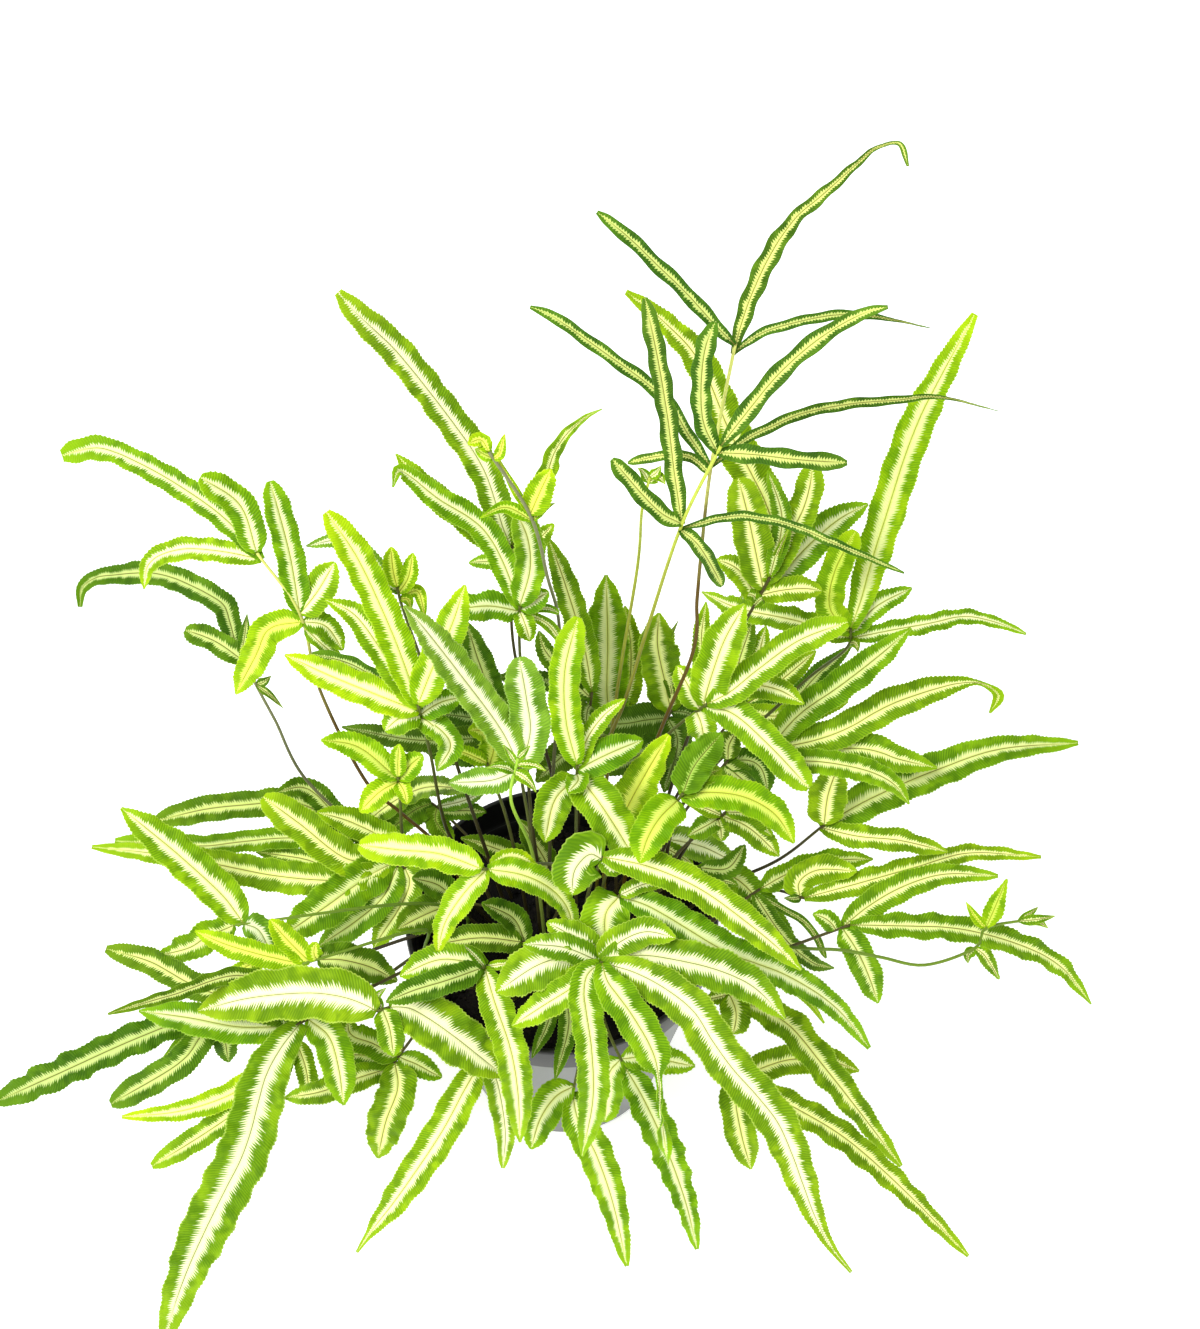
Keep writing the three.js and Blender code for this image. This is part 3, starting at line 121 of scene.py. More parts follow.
# leaves with the tone shade take a darker copy of their paint: painted shade for leaves deep inside
frondPlans = [
    frond("back_2", "dark", [], whorl(614, 727, 170,
        lance(16.5, 80, 608, 690, 608, 640, 606, 575, tone="light"),
        lance(10.5, 50, 628, 690, 631, 650, 625, 606, tone="green"),
        lance(10, -12, 606, 745, 592, 780, tone="shade"),
        lance(13, -10, 588, 738, 562, 756, 536, 782, tone="shade"))),
    frond("back_3", "dark", [], whorl(674, 705, 175,
        lance(15.5, 65, 667, 680, 658, 645, 659, 613, tone="green"),
        young(5, 60, 668, 670, 667, 645, 678, 621),
        lance(13.5, -8, 652, 713, 625, 722, 596, 724, tone="shade"),
        ovate(7, -8, 690, 712, 700, 728, tone="shade"),
        lance(11, -25, 662, 732, 640, 752, 604, 775, tone="shade"),
        lance(11, -24, 680, 738, 664, 792, tone="shade"),
        lance(10, -28, 666, 745, 645, 770, 617, 794, tone="shade"))),
    frond("back_4", "dark", [], whorl(592, 692, 205,
        lance(10, 80, 585, 650, 575, 615, 562, 575, 548, 537, tone="green"),
        ovate(9, 15, 565, 670, 545, 650, 539, 631),
        ovate(8, -6, 588, 706, 586, 725, tone="shade"),
        lance(8, 5, 555, 680, 525, 680, 497, 676, tone="shade"))),
    frond("back_1", "dark", [], whorl(520, 730, 185,
        lance(11.5, 75, 495, 700, 480, 665, 466, 621),
        lance(12, 6, 490, 720, 462, 716, 436, 714, tone="shade"),
        lance(11, -4, 488, 745, 455, 752, 424, 750, tone="shade"),
        lance(10, 4, 478, 735, 415, 739, 342, 727, tone="shade"))),
    frond("back_5", "dark", [], whorl(556, 888, 118,
        lance(10, 30, 530, 862, 490, 846, 461, 838),
        lance(10, 50, 545, 860, 520, 820))),
    frond("back_6", "dark", [], whorl(745, 702, 195,
        lance(8, 45, 715, 680, 703, 640, 706, 602, tone="green"),
        lance(9, 35, 739, 668, 753, 619),
        ovate(9, 30, 756, 665, 766, 626, tone="light"),
        lance(9, 14, 778, 682, 816, 651, tone="green"),
        lance(8, 10, 790, 700, 820, 672, 852, 646),
        ovate(9, -10, 765, 715, 771, 731),
        lance(9, 0, 790, 712, 848, 702, tone="green"))),
    frond("back_7", "green", [], whorl(432, 803, 138,
        lance(12, 5, 412, 812, 386, 834, tone="faint"),
        lance(9, -12, 434, 820, 453, 843, tone="faint"),
        lance(8, 0, 455, 808, 486, 812, tone="dark"),
        ovate(6, 8, 462, 800, 486, 790, tone="sage"))),
    frond("tall_bud", "light", [(637, 570, 270), (642, 510, 320)], whorl(650, 477, 340,
        young(4, 6, 646, 473, 638, 468),
        young(4, 6, 656, 473, 661, 466),
        young(4.5, 2, 659, 475, 665, 484)), stem="straw"),
    frond("right_2", "young", [(795, 690, 220), (845, 650, 260)], whorl(851, 628, 275,
        lance(12.5, 120, 861, 600, 872, 560, 888, 510, 902, 465, 919, 420, 939, 380, 958, 345, 975, 314,
              outline="strap", tone="bright"),
        lance(8, 8, 875, 606, 912, 588, tone="light"),
        wavy(7, -18, 890, 624, 930, 620, 965, 615, 999, 623, 1026, 634, outline="slender", tone="light"),
        wavy(9, -30, 800, 617, 740, 608, 702, 592, tone="light"),
        lance(10.5, 50, 830, 605, 835, 570, 856, 531, outline="blunt", tone="lime"),
        young(4, -10, 856, 640, 858, 652, tone="green"))),
    frond("right_1", "green", [], whorl(770, 577, 305,
        lance(14, 105, 778, 520, 758, 475, 731, 427, 700, 360, 660, 318, 626, 292, outline="slender"),
        lance(13, 45, 757, 540, 738, 478, outline="blunt"),
        ovate(7, 45, 782, 520, 768, 471),
        lance(10.5, 42, 784, 545, 803, 510, 811, 480, 811, 462, outline="blunt"),
        lance(12, 15, 790, 560, 815, 537, 840, 518, 868, 504, tone="light"),
        ovate(9, -8, 795, 584, 822, 591),
        lance(9, 0, 745, 566, 716, 560),
        young(3, 22, 777, 555, 789, 528),
        young(5, -15, 766, 590, 763, 604),
        young(5, -15, 755, 588, 739, 598))),
    frond("tall_right", "green", [(692, 655, 296), (697, 600, 325), (701, 555, 344)],
        whorl(711, 467, 385,
            narrow(4.3, 40, 689, 436, 670, 405, 644, 381, 609, 356, 580, 335, 550, 315, 530, 307,
                  tone="fertile"),
            narrow(3.4, -10, 690, 453, 660, 455, 628, 463, tone="fertile"),
            narrow(3.6, -5, 745, 440, 771, 427, 801, 414, 850, 404, 900, 400, 940, 397, 998, 411,
                  outline="hair", tone="fertile")),
        whorl(735, 345, 440,
            narrow(6, 30, 748, 301, 770, 253, 794, 218, 815, 200, 843, 176, 876, 148, 900, 144, 908, 166,
                  outline="hook", tone="fertile"),
            narrow(4.6, 35, 715, 325, 687, 294, 657, 265, 628, 237, 597, 212, tone="fertile"),
            narrow(3.2, -10, 758, 329, 789, 320, 838, 313, 880, 317, 930, 328, outline="hair",
                  tone="fertile")), stem="tall"),
    frond("tall_centre", "light", [(600, 768, 190), (625, 700, 235), (650, 620, 280)],
        whorl(682, 524, 360,
            narrow(6, 100, 674, 470, 668, 420, 658, 360, 645, 298, tone="fertile"),
            narrow(6, 25, 661, 513, 640, 492, 612, 459, tone="fertile"),
            narrow(3.2, -18, 712, 517, 740, 513, 790, 523, 840, 545, 904, 573, outline="ribbon",
                  tone="fertile"),
            narrow(5, -35, 698, 541, 710, 562, 722, 586, tone="fertile")),
        whorl(721, 446, 405,
            narrow(6.2, 45, 706, 420, 702, 388, 705, 350, 715, 322, tone="fertile"),
            narrow(6, 35, 745, 415, 779, 374, 819, 339, 860, 315, 888, 307, outline="ribbon",
                  tone="fertile"),
            narrow(5.8, -10, 755, 451, 800, 459, 847, 463, tone="fertile")), stem="straw"),
    frond("upper_1", "green", [(515, 655, 225)], whorl(512, 545, 300,
        lance(11.5, 100, 500, 515, 488, 476, 465, 437, 400, 355, 359, 316, 338, 292, outline="blunt",
              tone="pale"),
        lance(9.5, 35, 500, 545, 470, 522, 428, 489, 396, 454),
        ovate(6, -10, 495, 558, 469, 563),
        narrow(7.5, 85, 537, 501, 548, 471, 555, 452, 567, 434, 585, 418, 602, 409, outline="young"),
        ovate(7, 10, 535, 540, 554, 524))),
    frond("upper_2", "light", [(520, 655, 250)], whorl(520, 606, 300,
        lance(9.5, 45, 503, 560, 480, 525, 439, 499, 415, 480, 400, 470, 393, 487),
        lance(10.5, 55, 530, 570, 528, 540, 517, 513, outline="blunt"),
        ovate(8, 5, 533, 600, 549, 592),
        ovate(7, -15, 525, 622, 530, 641),
        wavy(10, -8, 490, 604, 463, 608, 440, 612),
        narrow(4, -25, 545, 620, 562, 642),
        narrow(3, -10, 545, 607, 559, 613))),
    frond("upper_3", "young", [(560, 642, 250), (547, 575, 310)],
        whorl(530, 515, 350,
            young(5, 0, 505, 506, 480, 518),
            ovate(9, 20, 540, 492, 551, 469),
            young(3, 3, 545, 507, 555, 503),
            young(3, 22, 515, 490, 495, 453)),
        whorl(489, 452, 380,
            ovate(5, 4, 481, 440, 468, 444),
            young(4, -4, 482, 452, 475, 449),
            young(4, 8, 498, 450, 505, 434)), stem="grey"),
    frond("left_bud", "young", [(432, 690, 220), (404, 612, 285)], whorl(397, 587, 300,
        ovate(7, 18, 393, 570, 391, 547),
        ovate(6, 12, 408, 575, 413, 553),
        young(5, -14, 415, 585, 422, 602, 425, 622),
        young(4, -14, 407, 595, 411, 612),
        lance(6.5, 6, 378, 566, 348, 540, 306, 546, tone="sage"))),
    frond("left_1", "dark", [(308, 782, 160), (275, 720, 205)],
        whorl(256, 685, 225,
            young(4, 2, 264, 682, 271, 676),
            young(3, 5, 270, 695, 283, 708)),
        whorl(241, 655, 238,
            lance(9.5, -22, 230, 630, 224, 604, 200, 588, 160, 573, 120, 574, 86, 582, 80, 607,
                  outline="strap"),
            ovate(9, 0, 215, 640, 185, 630, outline="blunt"),
            young(5, 20, 245, 635, 247, 614)), stem="grey"),
    frond("left_2", "light", [(400, 812, 174), (365, 780, 200), (320, 690, 250)],
        whorl(300, 614, 284,
            lance(10, 55, 291, 560, 281, 520, 270, 481, outline="blunt"),
            ovate(12.5, 18, 318, 591, 335, 562),
            lance(11, -45, 268, 625, 255, 655, 236, 694, tone="young"),
            ovate(8.5, -20, 325, 624, 343, 650),
            narrow(5, -28, 320, 640, 340, 660)),
        whorl(257, 553, 305,
            lance(9, 5, 230, 522, 200, 498, 150, 468, 100, 448, 62, 456, outline="lobed"),
            lance(11, 28, 240, 505, 200, 477, outline="blunt"),
            lance(8.5, -25, 220, 548, 180, 548, 150, 562, 144, 589)), stem="tall"),
    frond("inner_young", "young", [], whorl(487, 763, 215,
        ovate(11, 12, 493, 745, 485, 732, 468, 730),
        ovate(6, 6, 470, 755, 453, 749))),
    frond("back_left_1", "dark", [], whorl(345, 842, 122,
        lance(11.5, 8, 320, 815, 290, 802, 240, 805, 201, 810, 153, 822, outline="blunt"),
        lance(9, -6, 290, 838, 240, 842, 200, 846, 115, 841, outline="blunt", tone="green"),
        lance(10, 25, 330, 812, 305, 788, 275, 793),
        lance(10, 14, 365, 815, 420, 788, 474, 790),
        lance(8, -6, 330, 866, 300, 858, 256, 852))),
    frond("back_left_2", "green", [], whorl(384, 862, 145,
        lance(14, 20, 345, 858, 300, 824, 263, 797, outline="blunt"),
        lance(13, -26, 345, 878, 280, 876, 210, 863, 150, 853, 92, 847, outline="slender"),
        lance(16.5, -10, 360, 878, 325, 906, 283, 936),
        lance(12, -30, 397, 880, 393, 910, 374, 948),
        lance(12, 20, 380, 840, 350, 822, 317, 812),
        lance(12, -34, 376, 895, 352, 922, 318, 947))),
    frond("left_3", "light", [(447, 830, 156), (430, 752, 229)], whorl(418, 705, 275,
        lance(11.5, 65, 406, 668, 387, 620, 357, 557, 326, 512, outline="blunt", tone="bright"),
        lance(11.5, -12, 380, 693, 330, 675, 285, 655, tone="bright"),
        lance(10, 25, 385, 655, 355, 615, 325, 600),
        narrow(5.5, -8, 395, 688, 352, 664, 312, 654, tone="dark"),
        lance(12, 45, 432, 670, 452, 625, 465, 585, tone="bright"),
        ovate(9, -5, 440, 700, 461, 698),
        ovate(11, -15, 400, 715, 385, 731),
        ovate(9, -25, 432, 722, 442, 740),
        lance(9, -40, 440, 725, 450, 745, 437, 771))),
    frond("mid_1", "pale", [], whorl(519, 765, 244,
        lance(12.5, 80, 500, 728, 463, 678, 423, 627, 404, 606, tone="sage"),
        lance(14, 45, 530, 730, 526, 695, 519, 657, outline="blunt", tone="sage"),
        ovate(10, -18, 490, 779, 449, 783, tone="sage"))),
    frond("left_young", "young", [(407, 850, 140), (400, 800, 210)], whorl(398, 777, 240,
        ovate(10, 12, 359, 747, 321, 740),
        ovate(6, 14, 398, 760, 399, 744),
        ovate(9, 8, 412, 763, 423, 755),
        ovate(9, -15, 380, 790, 360, 812),
        ovate(6, -12, 404, 790, 407, 804))),
    frond("low_right_1", "dark", [], whorl(660, 838, 140,
        lance(12, -8, 700, 846, 736, 863, tone="sage"),
        lance(7, -6, 674, 850, 693, 865, tone="green"))),
    frond("low_right_2", "dark", [], whorl(700, 868, 175,
        lance(11, -38, 735, 875, 760, 900, 780, 932, 796, 962, tone="green"),
        ovate(5, 0, 718, 878, 738, 885),
        ovate(8, 5, 728, 868, 745, 845))),
    frond("low_right_3", "dark", [], whorl(760, 889, 165,
        wavy(9, 2, 790, 873, 830, 861, 873, 859, tone="green"),
        narrow(3, -25, 785, 906, 810, 926, 826, 958),
        lance(7, -32, 785, 935, 812, 962, 834, 968))),
    frond("low_right_4", "dark", [], whorl(804, 898, 168,
        lance(11, 8, 802, 882, 820, 870, 857, 871, tone="green"),
        wavy(9, -2, 860, 883, 920, 866, 970, 853, 1041, 857, outline="slender", tone="green"),
        young(4, 0, 795, 899, 784, 898))),
    frond("low_right_5", "green", [], whorl(850, 925, 145,
        ovate(7, 5, 828, 918, 813, 914),
        lance(10.5, -30, 863, 955, 878, 1003),
        lance(10.5, 0, 873, 905, 905, 886, 945, 874, 998, 876, outline="slender"),
        wavy(9.5, -55, 900, 926, 960, 929, 1020, 945, 1061, 967, 1091, 1004))),
    frond("right_3", "green", [(778, 860, 160)], whorl(824, 825, 200,
        ovate(14, 30, 828, 795, 838, 766),
        lance(14, -5, 859, 804, 899, 785, 941, 768, 1000, 749, 1078, 743, outline="slender"),
        wavy(8.5, -20, 860, 835, 900, 840, 948, 852))),
    frond("right_4", "green", [], whorl(772, 745, 215,
        lance(11.5, 45, 800, 714, 840, 686, 880, 655, 911, 628),
        lance(12, 22, 815, 738, 850, 726, 886, 706, 921, 693, 960, 683, 987, 685, 1000, 700, 990, 713,
              outline="twist"),
        lance(12, -8, 825, 745, 870, 748, 900, 759, 937, 768),
        lance(9, -20, 790, 756, 830, 761, 870, 771, 895, 785, 909, 804))),
    frond("right_5", "dark", [], whorl(728, 760, 225,
        ovate(9, 10, 729, 745, 737, 731),
        lance(10, -18, 740, 775, 755, 792),
        lance(9, -15, 748, 758, 762, 768, 768, 793))),
    frond("right_6", "light", [(640, 766, 190), (675, 728, 235)], whorl(707, 704, 262,
        lance(14, 45, 712, 680, 725, 640, 745, 604),
        ovate(10, 5, 690, 685, 677, 666),
        ovate(11, -18, 705, 722, 703, 743),
        lance(12, -28, 735, 712, 770, 745, 809, 788, outline="blunt"),
        lance(11, 25, 730, 692, 760, 668, 800, 640, 848, 622, outline="blunt"),
        lance(10, -12, 740, 684, 775, 688, 804, 704))),
    frond("right_7", "green", [], whorl(726, 812, 210,
        ovate(7, -12, 723, 825, 721, 841),
        lance(9, -20, 750, 826, 779, 856),
        lance(6, -10, 750, 815, 772, 836),
        young(6, -2, 705, 807, 685, 803),
        lance(8, -12, 710, 823, 688, 836))),
    frond("mid_2", "young", [], whorl(618, 845, 190,
        lance(15, 75, 624, 815, 645, 775, 669, 735, outline="slender"))),
    frond("mid_3", "light", [], whorl(577, 765, 246,
        lance(11, 70, 566, 720, 565, 670, 578, 617, outline="blunt", tone="bright"),
        lance(7, 20, 587, 737, 604, 715, 625, 699),
        lance(12, 0, 610, 752, 643, 740),
        lance(15, -30, 602, 803, 634, 858),
        ovate(8, -2, 578, 778, 568, 793),
        lance(12.5, -40, 555, 795, 545, 842))),
    frond("mid_young", "light", [(530, 845, 200), (511, 800, 250)], whorl(518, 758, 270,
        young(4, 0, 503, 763, 487, 768),
        young(3, 6, 524, 752, 530, 746),
        young(3, -2, 532, 762, 546, 771),
        young(5, -12, 527, 775, 536, 792),
        young(3, 5, 510, 752, 503, 745)), stem="fresh"),
    frond("inner_1", "dark", [], whorl(455, 900, 122,
        lance(14, -5, 428, 912, 396, 930),
        ovate(11, -8, 438, 885, 412, 878))),
    frond("inner_2", "dark", [], whorl(522, 942, 122,
        lance(10, 25, 512, 918, 482, 903),
        lance(11, 10, 480, 938, 433, 945),
        lance(8, 4, 552, 978, 568, 1020, 555, 1080),
        lance(7, 3, 540, 975, 549, 1015, 532, 1058))),
    frond("low_left_1", "young", [], whorl(235, 925, 160,
        lance(14.5, 28, 217, 896, 180, 858, 148, 830, 121, 808, tone="light"),
        wavy(11, -15, 207, 937, 189, 948, 158, 956, tone="green"),
        lance(10.5, -15, 254, 930, 266, 945, 272, 963, tone="sage")), stem="hidden"),
    frond("low_left_2", "young", [], whorl(302, 964, 160,
        lance(9, 5, 262, 955, 225, 944, 195, 931),
        lance(7, -5, 262, 960, 240, 970, 221, 976),
        lance(9, 12, 289, 945, 270, 919),
        ovate(6, 5, 308, 957, 317, 942),
        lance(13, -32, 335, 962, 370, 968, 397, 981, tone="dark")), stem="hidden"),
    frond("trail_left_1", "dark", [], whorl(205, 1012, 108,
        wavy(12.5, -38, 165, 1027, 119, 1046, 60, 1073, -5, 1102, outline="blunt"),
        lance(11.5, -33, 194, 1040, 174, 1066, 111, 1104, outline="blunt"),
        young(7, -20, 187, 1036, 160, 1062, tone="young"),
        ovate(10, -22, 222, 1040, 229, 1062))),
    frond("trail_left_2", "young", [], whorl(290, 1045, 92,
        lance(10, -15, 262, 1072, 232, 1094, 181, 1111, 122, 1117, outline="slender", tone="bright"),
        lance(10, -30, 262, 1092, 225, 1120, 190, 1143, 152, 1166, outline="blunt", tone="green"),
        lance(8, -16, 304, 1070, 311, 1102, tone="green"))),
    frond("low_left_3", "green", [], whorl(390, 1068, 106,
        lance(14.5, -42, 395, 1092, 385, 1123, 378, 1158),
        ovate(9, -6, 415, 1068, 442, 1077),
        ovate(8, 12, 391, 1050, 389, 1027),
        lance(10, -6, 360, 1057, 320, 1056),
        lance(10, -26, 355, 1079, 320, 1092, 284, 1098),
        lance(11, 12, 370, 1048, 350, 1035, 348, 1015))),
    frond("low_left_4", "green", [], whorl(294, 1026, 138,
        lance(13, -18, 240, 1027, 190, 1018, 139, 1011, tone="light"),
        lance(18.5, -85, 264, 1071, 243, 1149, 217, 1204, 186, 1273, 163, 1342, outline="strap",
              tone="pale"),
        lance(13, -28, 322, 1040, 337, 1070, 344, 1105, tone="light"),
        lance(10.5, -10, 240, 1006, 190, 985, 150, 962, 106, 949, outline="blunt", tone="dark"),
        narrow(6.5, -18, 240, 979, 170, 996, 108, 1014, outline="slender", tone="dark"))),
    frond("trail_right", "pale", [(800, 948, 105), (840, 950, 110), (880, 957, 112), (925, 965, 110)],
        whorl(975, 948, 108,
            young(4.5, -6, 968, 955, 968, 963, tone="green"),
            lance(6, -15, 985, 956, 999, 979, outline="young", tone="green")),
        whorl(986, 928, 108,
            young(4, 4, 976, 918, 966, 902, tone="lime"),
            lance(7.5, 15, 996, 905, 1007, 879, outline="young", tone="lime")),
        whorl(1025, 920, 105,
            young(3, 2, 1031, 914, 1038, 907, tone="green"),
            young(4, 2, 1040, 919, 1055, 916, tone="green"),
            young(4, -2, 1037, 921, 1048, 928, tone="green")), stem="hidden"),
    frond("front_right_1", "green", [], whorl(748, 1080, 82,
        wavy(11, -60, 783, 1101, 845, 1138, 907, 1193, 968, 1256, outline="slender"),
        lance(12.5, -32, 738, 1101, 742, 1135, 751, 1169),
        lance(12, -2, 790, 1062, 830, 1062, 859, 1071),
        ovate(6, 0, 722, 1068, 706, 1070))),
    frond("front_right_2", "green", [], whorl(735, 998, 120,
        wavy(12.5, -55, 785, 1022, 825, 1068, 862, 1115, 901, 1166, outline="slender"),
        ovate(12, -10, 738, 1014, 733, 1034),
        ovate(6, -2, 722, 998, 706, 999))),
    frond("front_left_1", "light", [], whorl(482, 1060, 114,
        lance(13, -68, 464, 1091, 440, 1135, 400, 1194, 370, 1233, 357, 1252, outline="drawn"),
        lance(10, -40, 496, 1085, 505, 1130, 503, 1168, outline="slender", tone="pale"))),
    frond("front_1", "light", [(583, 1042, 128)], whorl(573, 1092, 104,
        lance(13, -62, 578, 1120, 596, 1154, 613, 1203, 627, 1266, outline="slender"),
        ovate(13, -20, 555, 1100, 540, 1120, 531, 1149))),
    frond("front_2", "light", [(610, 1036, 129)], whorl(624, 1066, 124,
        wavy(12.5, -65, 642, 1096, 665, 1145, 685, 1200, 697, 1249, outline="slender"),
        ovate(13, -22, 610, 1080, 605, 1122),
        ovate(11, -3, 650, 1060, 695, 1066))),
    frond("low_left_5", "pale", [], whorl(377, 1011, 162,
        lance(19, -22, 350, 999, 310, 993, 250, 998, 198, 1011),
        lance(18.5, -34, 405, 1012, 450, 1036, 505, 1076),
        ovate(10, -15, 388, 1030, 394, 1056, tone="green"),
        young(4, 5, 375, 998, 386, 988))),
    frond("front_left_2", "light", [], whorl(482, 968, 160,
        lance(12, -12, 440, 960, 400, 976),
        lance(12, -72, 492, 1000, 510, 1050, 518, 1095, 520, 1142),
        young(4, 4, 473, 955, 463, 944),
        young(4, 0, 500, 965, 521, 962),
        lance(10, -30, 448, 980, 415, 990, 386, 1002, tone="dark"))),
    frond("bright", "young", [], whorl(482, 869, 232,
        lance(12, -15, 440, 854, 400, 850, 359, 845, outline="blunt", tone="bright"),
        lance(10.5, -45, 462, 893, 445, 922, 438, 951, outline="slender", tone="bright"),
        lance(6, -15, 500, 858, 520, 859, 538, 869, tone="bright"),
        lance(10.5, -48, 520, 875, 550, 889, 568, 910, 574, 938, outline="slender", tone="bright"))),
    frond("front_right_3", "pale", [], whorl(620, 895, 212,
        lance(13.5, -80, 650, 905, 690, 929, 730, 953, 780, 972, 820, 995, 846, 1018, 869, 1048,
              outline="slender", tone="light"),
        lance(6, -75, 740, 950, 800, 993, 824, 1023, outline="slender", tone="lime"),
        lance(17, -25, 606, 915, 606, 954, tone="light"),
        lance(6, 2, 645, 884, 668, 882))),
    frond("front_right_4", "pale", [], whorl(603, 857, 222,
        ovate(17, -20, 590, 853, 575, 870, 572, 895),
        lance(12, -72, 650, 867, 700, 889, 745, 921, 778, 948, 801, 970, tone="light"),
        ovate(6, -6, 612, 868, 622, 869))),
    frond("right_8", "young", [], whorl(683, 793, 246,
        lance(12, -30, 710, 790, 745, 796, 775, 814, 794, 843),
        lance(13.5, -12, 662, 815, 648, 838, 640, 863),
        lance(12, 0, 695, 765, 722, 733, tone="faint"),
        ovate(8, -2, 700, 778, 722, 769, tone="faint"))),
    frond("front_3", "pale", [], whorl(602, 963, 186,
        lance(17, -22, 580, 957, 540, 965, 496, 992),
        lance(11, -38, 578, 985, 545, 1005, 512, 1026, tone="light"),
        lance(11.5, -78, 585, 985, 592, 1050, 593, 1100, 582, 1156, tone="light"),
        tail(13, -58, 608, 982, 630, 1012, 652, 1050, 659, 1080, 661, 1115, 668, 1164, tone="light"),
        lance(14.5, -90, 640, 975, 690, 1007, 725, 1059, 777, 1121, 801, 1179, 823, 1234, 851, 1272,
              outline="drawn"),
        lance(15, -35, 640, 956, 680, 961, 720, 971, 755, 988, 785, 1019),
        lance(11, -5, 620, 944, 646, 932, 676, 938),
        ovate(11, -8, 588, 945, 565, 932, 547, 922),
        ovate(10, 2, 565, 948, 523, 944))),
]


# smooth paths
def lengthsAlong(points):
    return np.concatenate(([0.0], np.cumsum(np.linalg.norm(np.diff(points, axis=0), axis=1))))


class SmoothPath:
    def __init__(self, points):
        self.points = np.array(points, float)
        self.steps = np.linspace(0.0, 1.0, 201)
        self.lengths = lengthsAlong(self.at(self.steps))

    def at(self, t):
        points = self.points
        count = len(points)
        t = np.atleast_1d(np.asarray(t, float)) * (count - 1)
        start = np.minimum(np.floor(t).astype(int), count - 2)
        w = (t - start)[:, None]
        padded = np.vstack((2 * points[0] - points[1], points, 2 * points[-1] - points[-2]))
        p0, p1, p2, p3 = padded[start], padded[start + 1], padded[start + 2], padded[start + 3]
        t0, t1 = (p2 - p0) / 2, (p3 - p1) / 2
        return p1 + t0 * w + (3 * (p2 - p1) - 2 * t0 - t1) * w ** 2 + (2 * (p1 - p2) + t0 + t1) * w ** 3

    def spread(self, shares):  # evenly by length
        return self.at(np.interp(np.asarray(shares, float) * self.lengths[-1], self.lengths, self.steps))

    def length(self):
        return float(self.lengths[-1])


def unit(vectors):
    return vectors / np.linalg.norm(vectors, axis=-1, keepdims=True)


# sheet to space
eye = np.array(sheet["eye"])
pitch = math.radians(sheet["pitch"])
sightForward = np.array((0.0, math.cos(pitch), -math.sin(pitch)))
sightUp = np.array((0.0, math.sin(pitch), math.cos(pitch)))


def sightRay(u, v):
    across = (np.asarray(u, float) - sheet["middle"][0]) / sheet["scale"]
    upward = (sheet["middle"][1] - np.asarray(v, float)) / sheet["scale"]
    right = np.array((1.0, 0.0, 0.0))
    return sightForward + upward[..., None] * sightUp + across[..., None] * right


def depthAtHeight(u, v, height):
    return (np.asarray(height, float) - eye[2]) / sightRay(u, v)[..., 2]


def placeOnSight(u, v, depth):
    return sightRay(u, v) * np.asarray(depth, float)[..., None] + eye


def facingAt(places):  # blades face the eye point, leaning a little to the sky
    return unit(unit(eye - places) + np.array((0.0, 0.0, 0.3)))


# laying the fronds back to front
def planHalfWidth(blade, share):
    full = blade["width"] / 2
    foot = 0.5 + 0.4 * min(1, share * 8)
    if blade["form"] == "ovate":
        outline = max(math.sin(math.pi * min(1, 0.12 + 0.88 * share) ** 1.15), 0.0) ** 0.7
    elif blade["form"] == "tail":
        outline = min(1, share / 0.18) if share < 0.55 else max(0.26, 1 - (share - 0.55) / 0.12)
    else:
        outline = min(1, (share / 0.28) ** 0.9, ((1 - share) / 0.42) ** 0.75)
    return max(foot * min(1, 2.4 - 2 * share), full * outline)


def midribSamples(hub, blade):
    flat = [(hub["u"], hub["v"])] + list(zip(blade["path"][0::2], blade["path"][1::2]))
    flat = np.array(flat, float)
    shares = lengthsAlong(flat)
    shares /= shares[-1]
    span = math.hypot(flat[-1][0] - hub["u"], flat[-1][1] - hub["v"]) * layering["pointSize"]
    arch = 4 * layering["arch"] * span * shares * (1 - shares)
    heights = hub["height"] + blade["rise"] * shares ** 1.4 + arch
    steps = np.arange(layering["samples"] + 1) / layering["samples"]
    points = SmoothPath(np.column_stack((flat, heights))).spread(steps)
    depth = depthAtHeight(points[:, 0], points[:, 1], points[:, 2])
    half = np.array([planHalfWidth(blade, s) for s in steps]) * sheet["scale"] / depth
    return {"u": points[:, 0], "v": points[:, 1], "depth": depth, "share": steps, "half": half}


# where a frond lies over those before it, its hub and then its tips come towards the eye
def liftClear(blades, laid):
    needs = []
    for samples in blades:
        need = np.zeros(len(samples["u"]))
        if laid is not None:
            apart = np.hypot(samples["u"][:, None] - laid[0], samples["v"][:, None] - laid[1])
            over = apart < samples["half"][:, None] + laid[3] + layering["margin"]
            gap = samples["depth"][:, None] + layering["gap"] - laid[2]
            need = np.maximum(0, np.where(over, gap, 0).max(axis=1))
        needs.append(need)
    hubNeed = 0.0
    for samples, need in zip(blades, needs):
        weights = np.where(samples["share"] < layering["hubPart"], 1, layering["tipWeight"])
        hubNeed = max(hubNeed, float((need * weights).max()))
    for samples, need in zip(blades, needs):
        ramp = samples["share"] ** 1.3
        outer = samples["share"] >= layering["hubPart"]
        tipNeed = max(0.0, float(((need[outer] - hubNeed) / ramp[outer]).max()))
        samples["depth"] = samples["depth"] - hubNeed - tipNeed * ramp
    return hubNeed


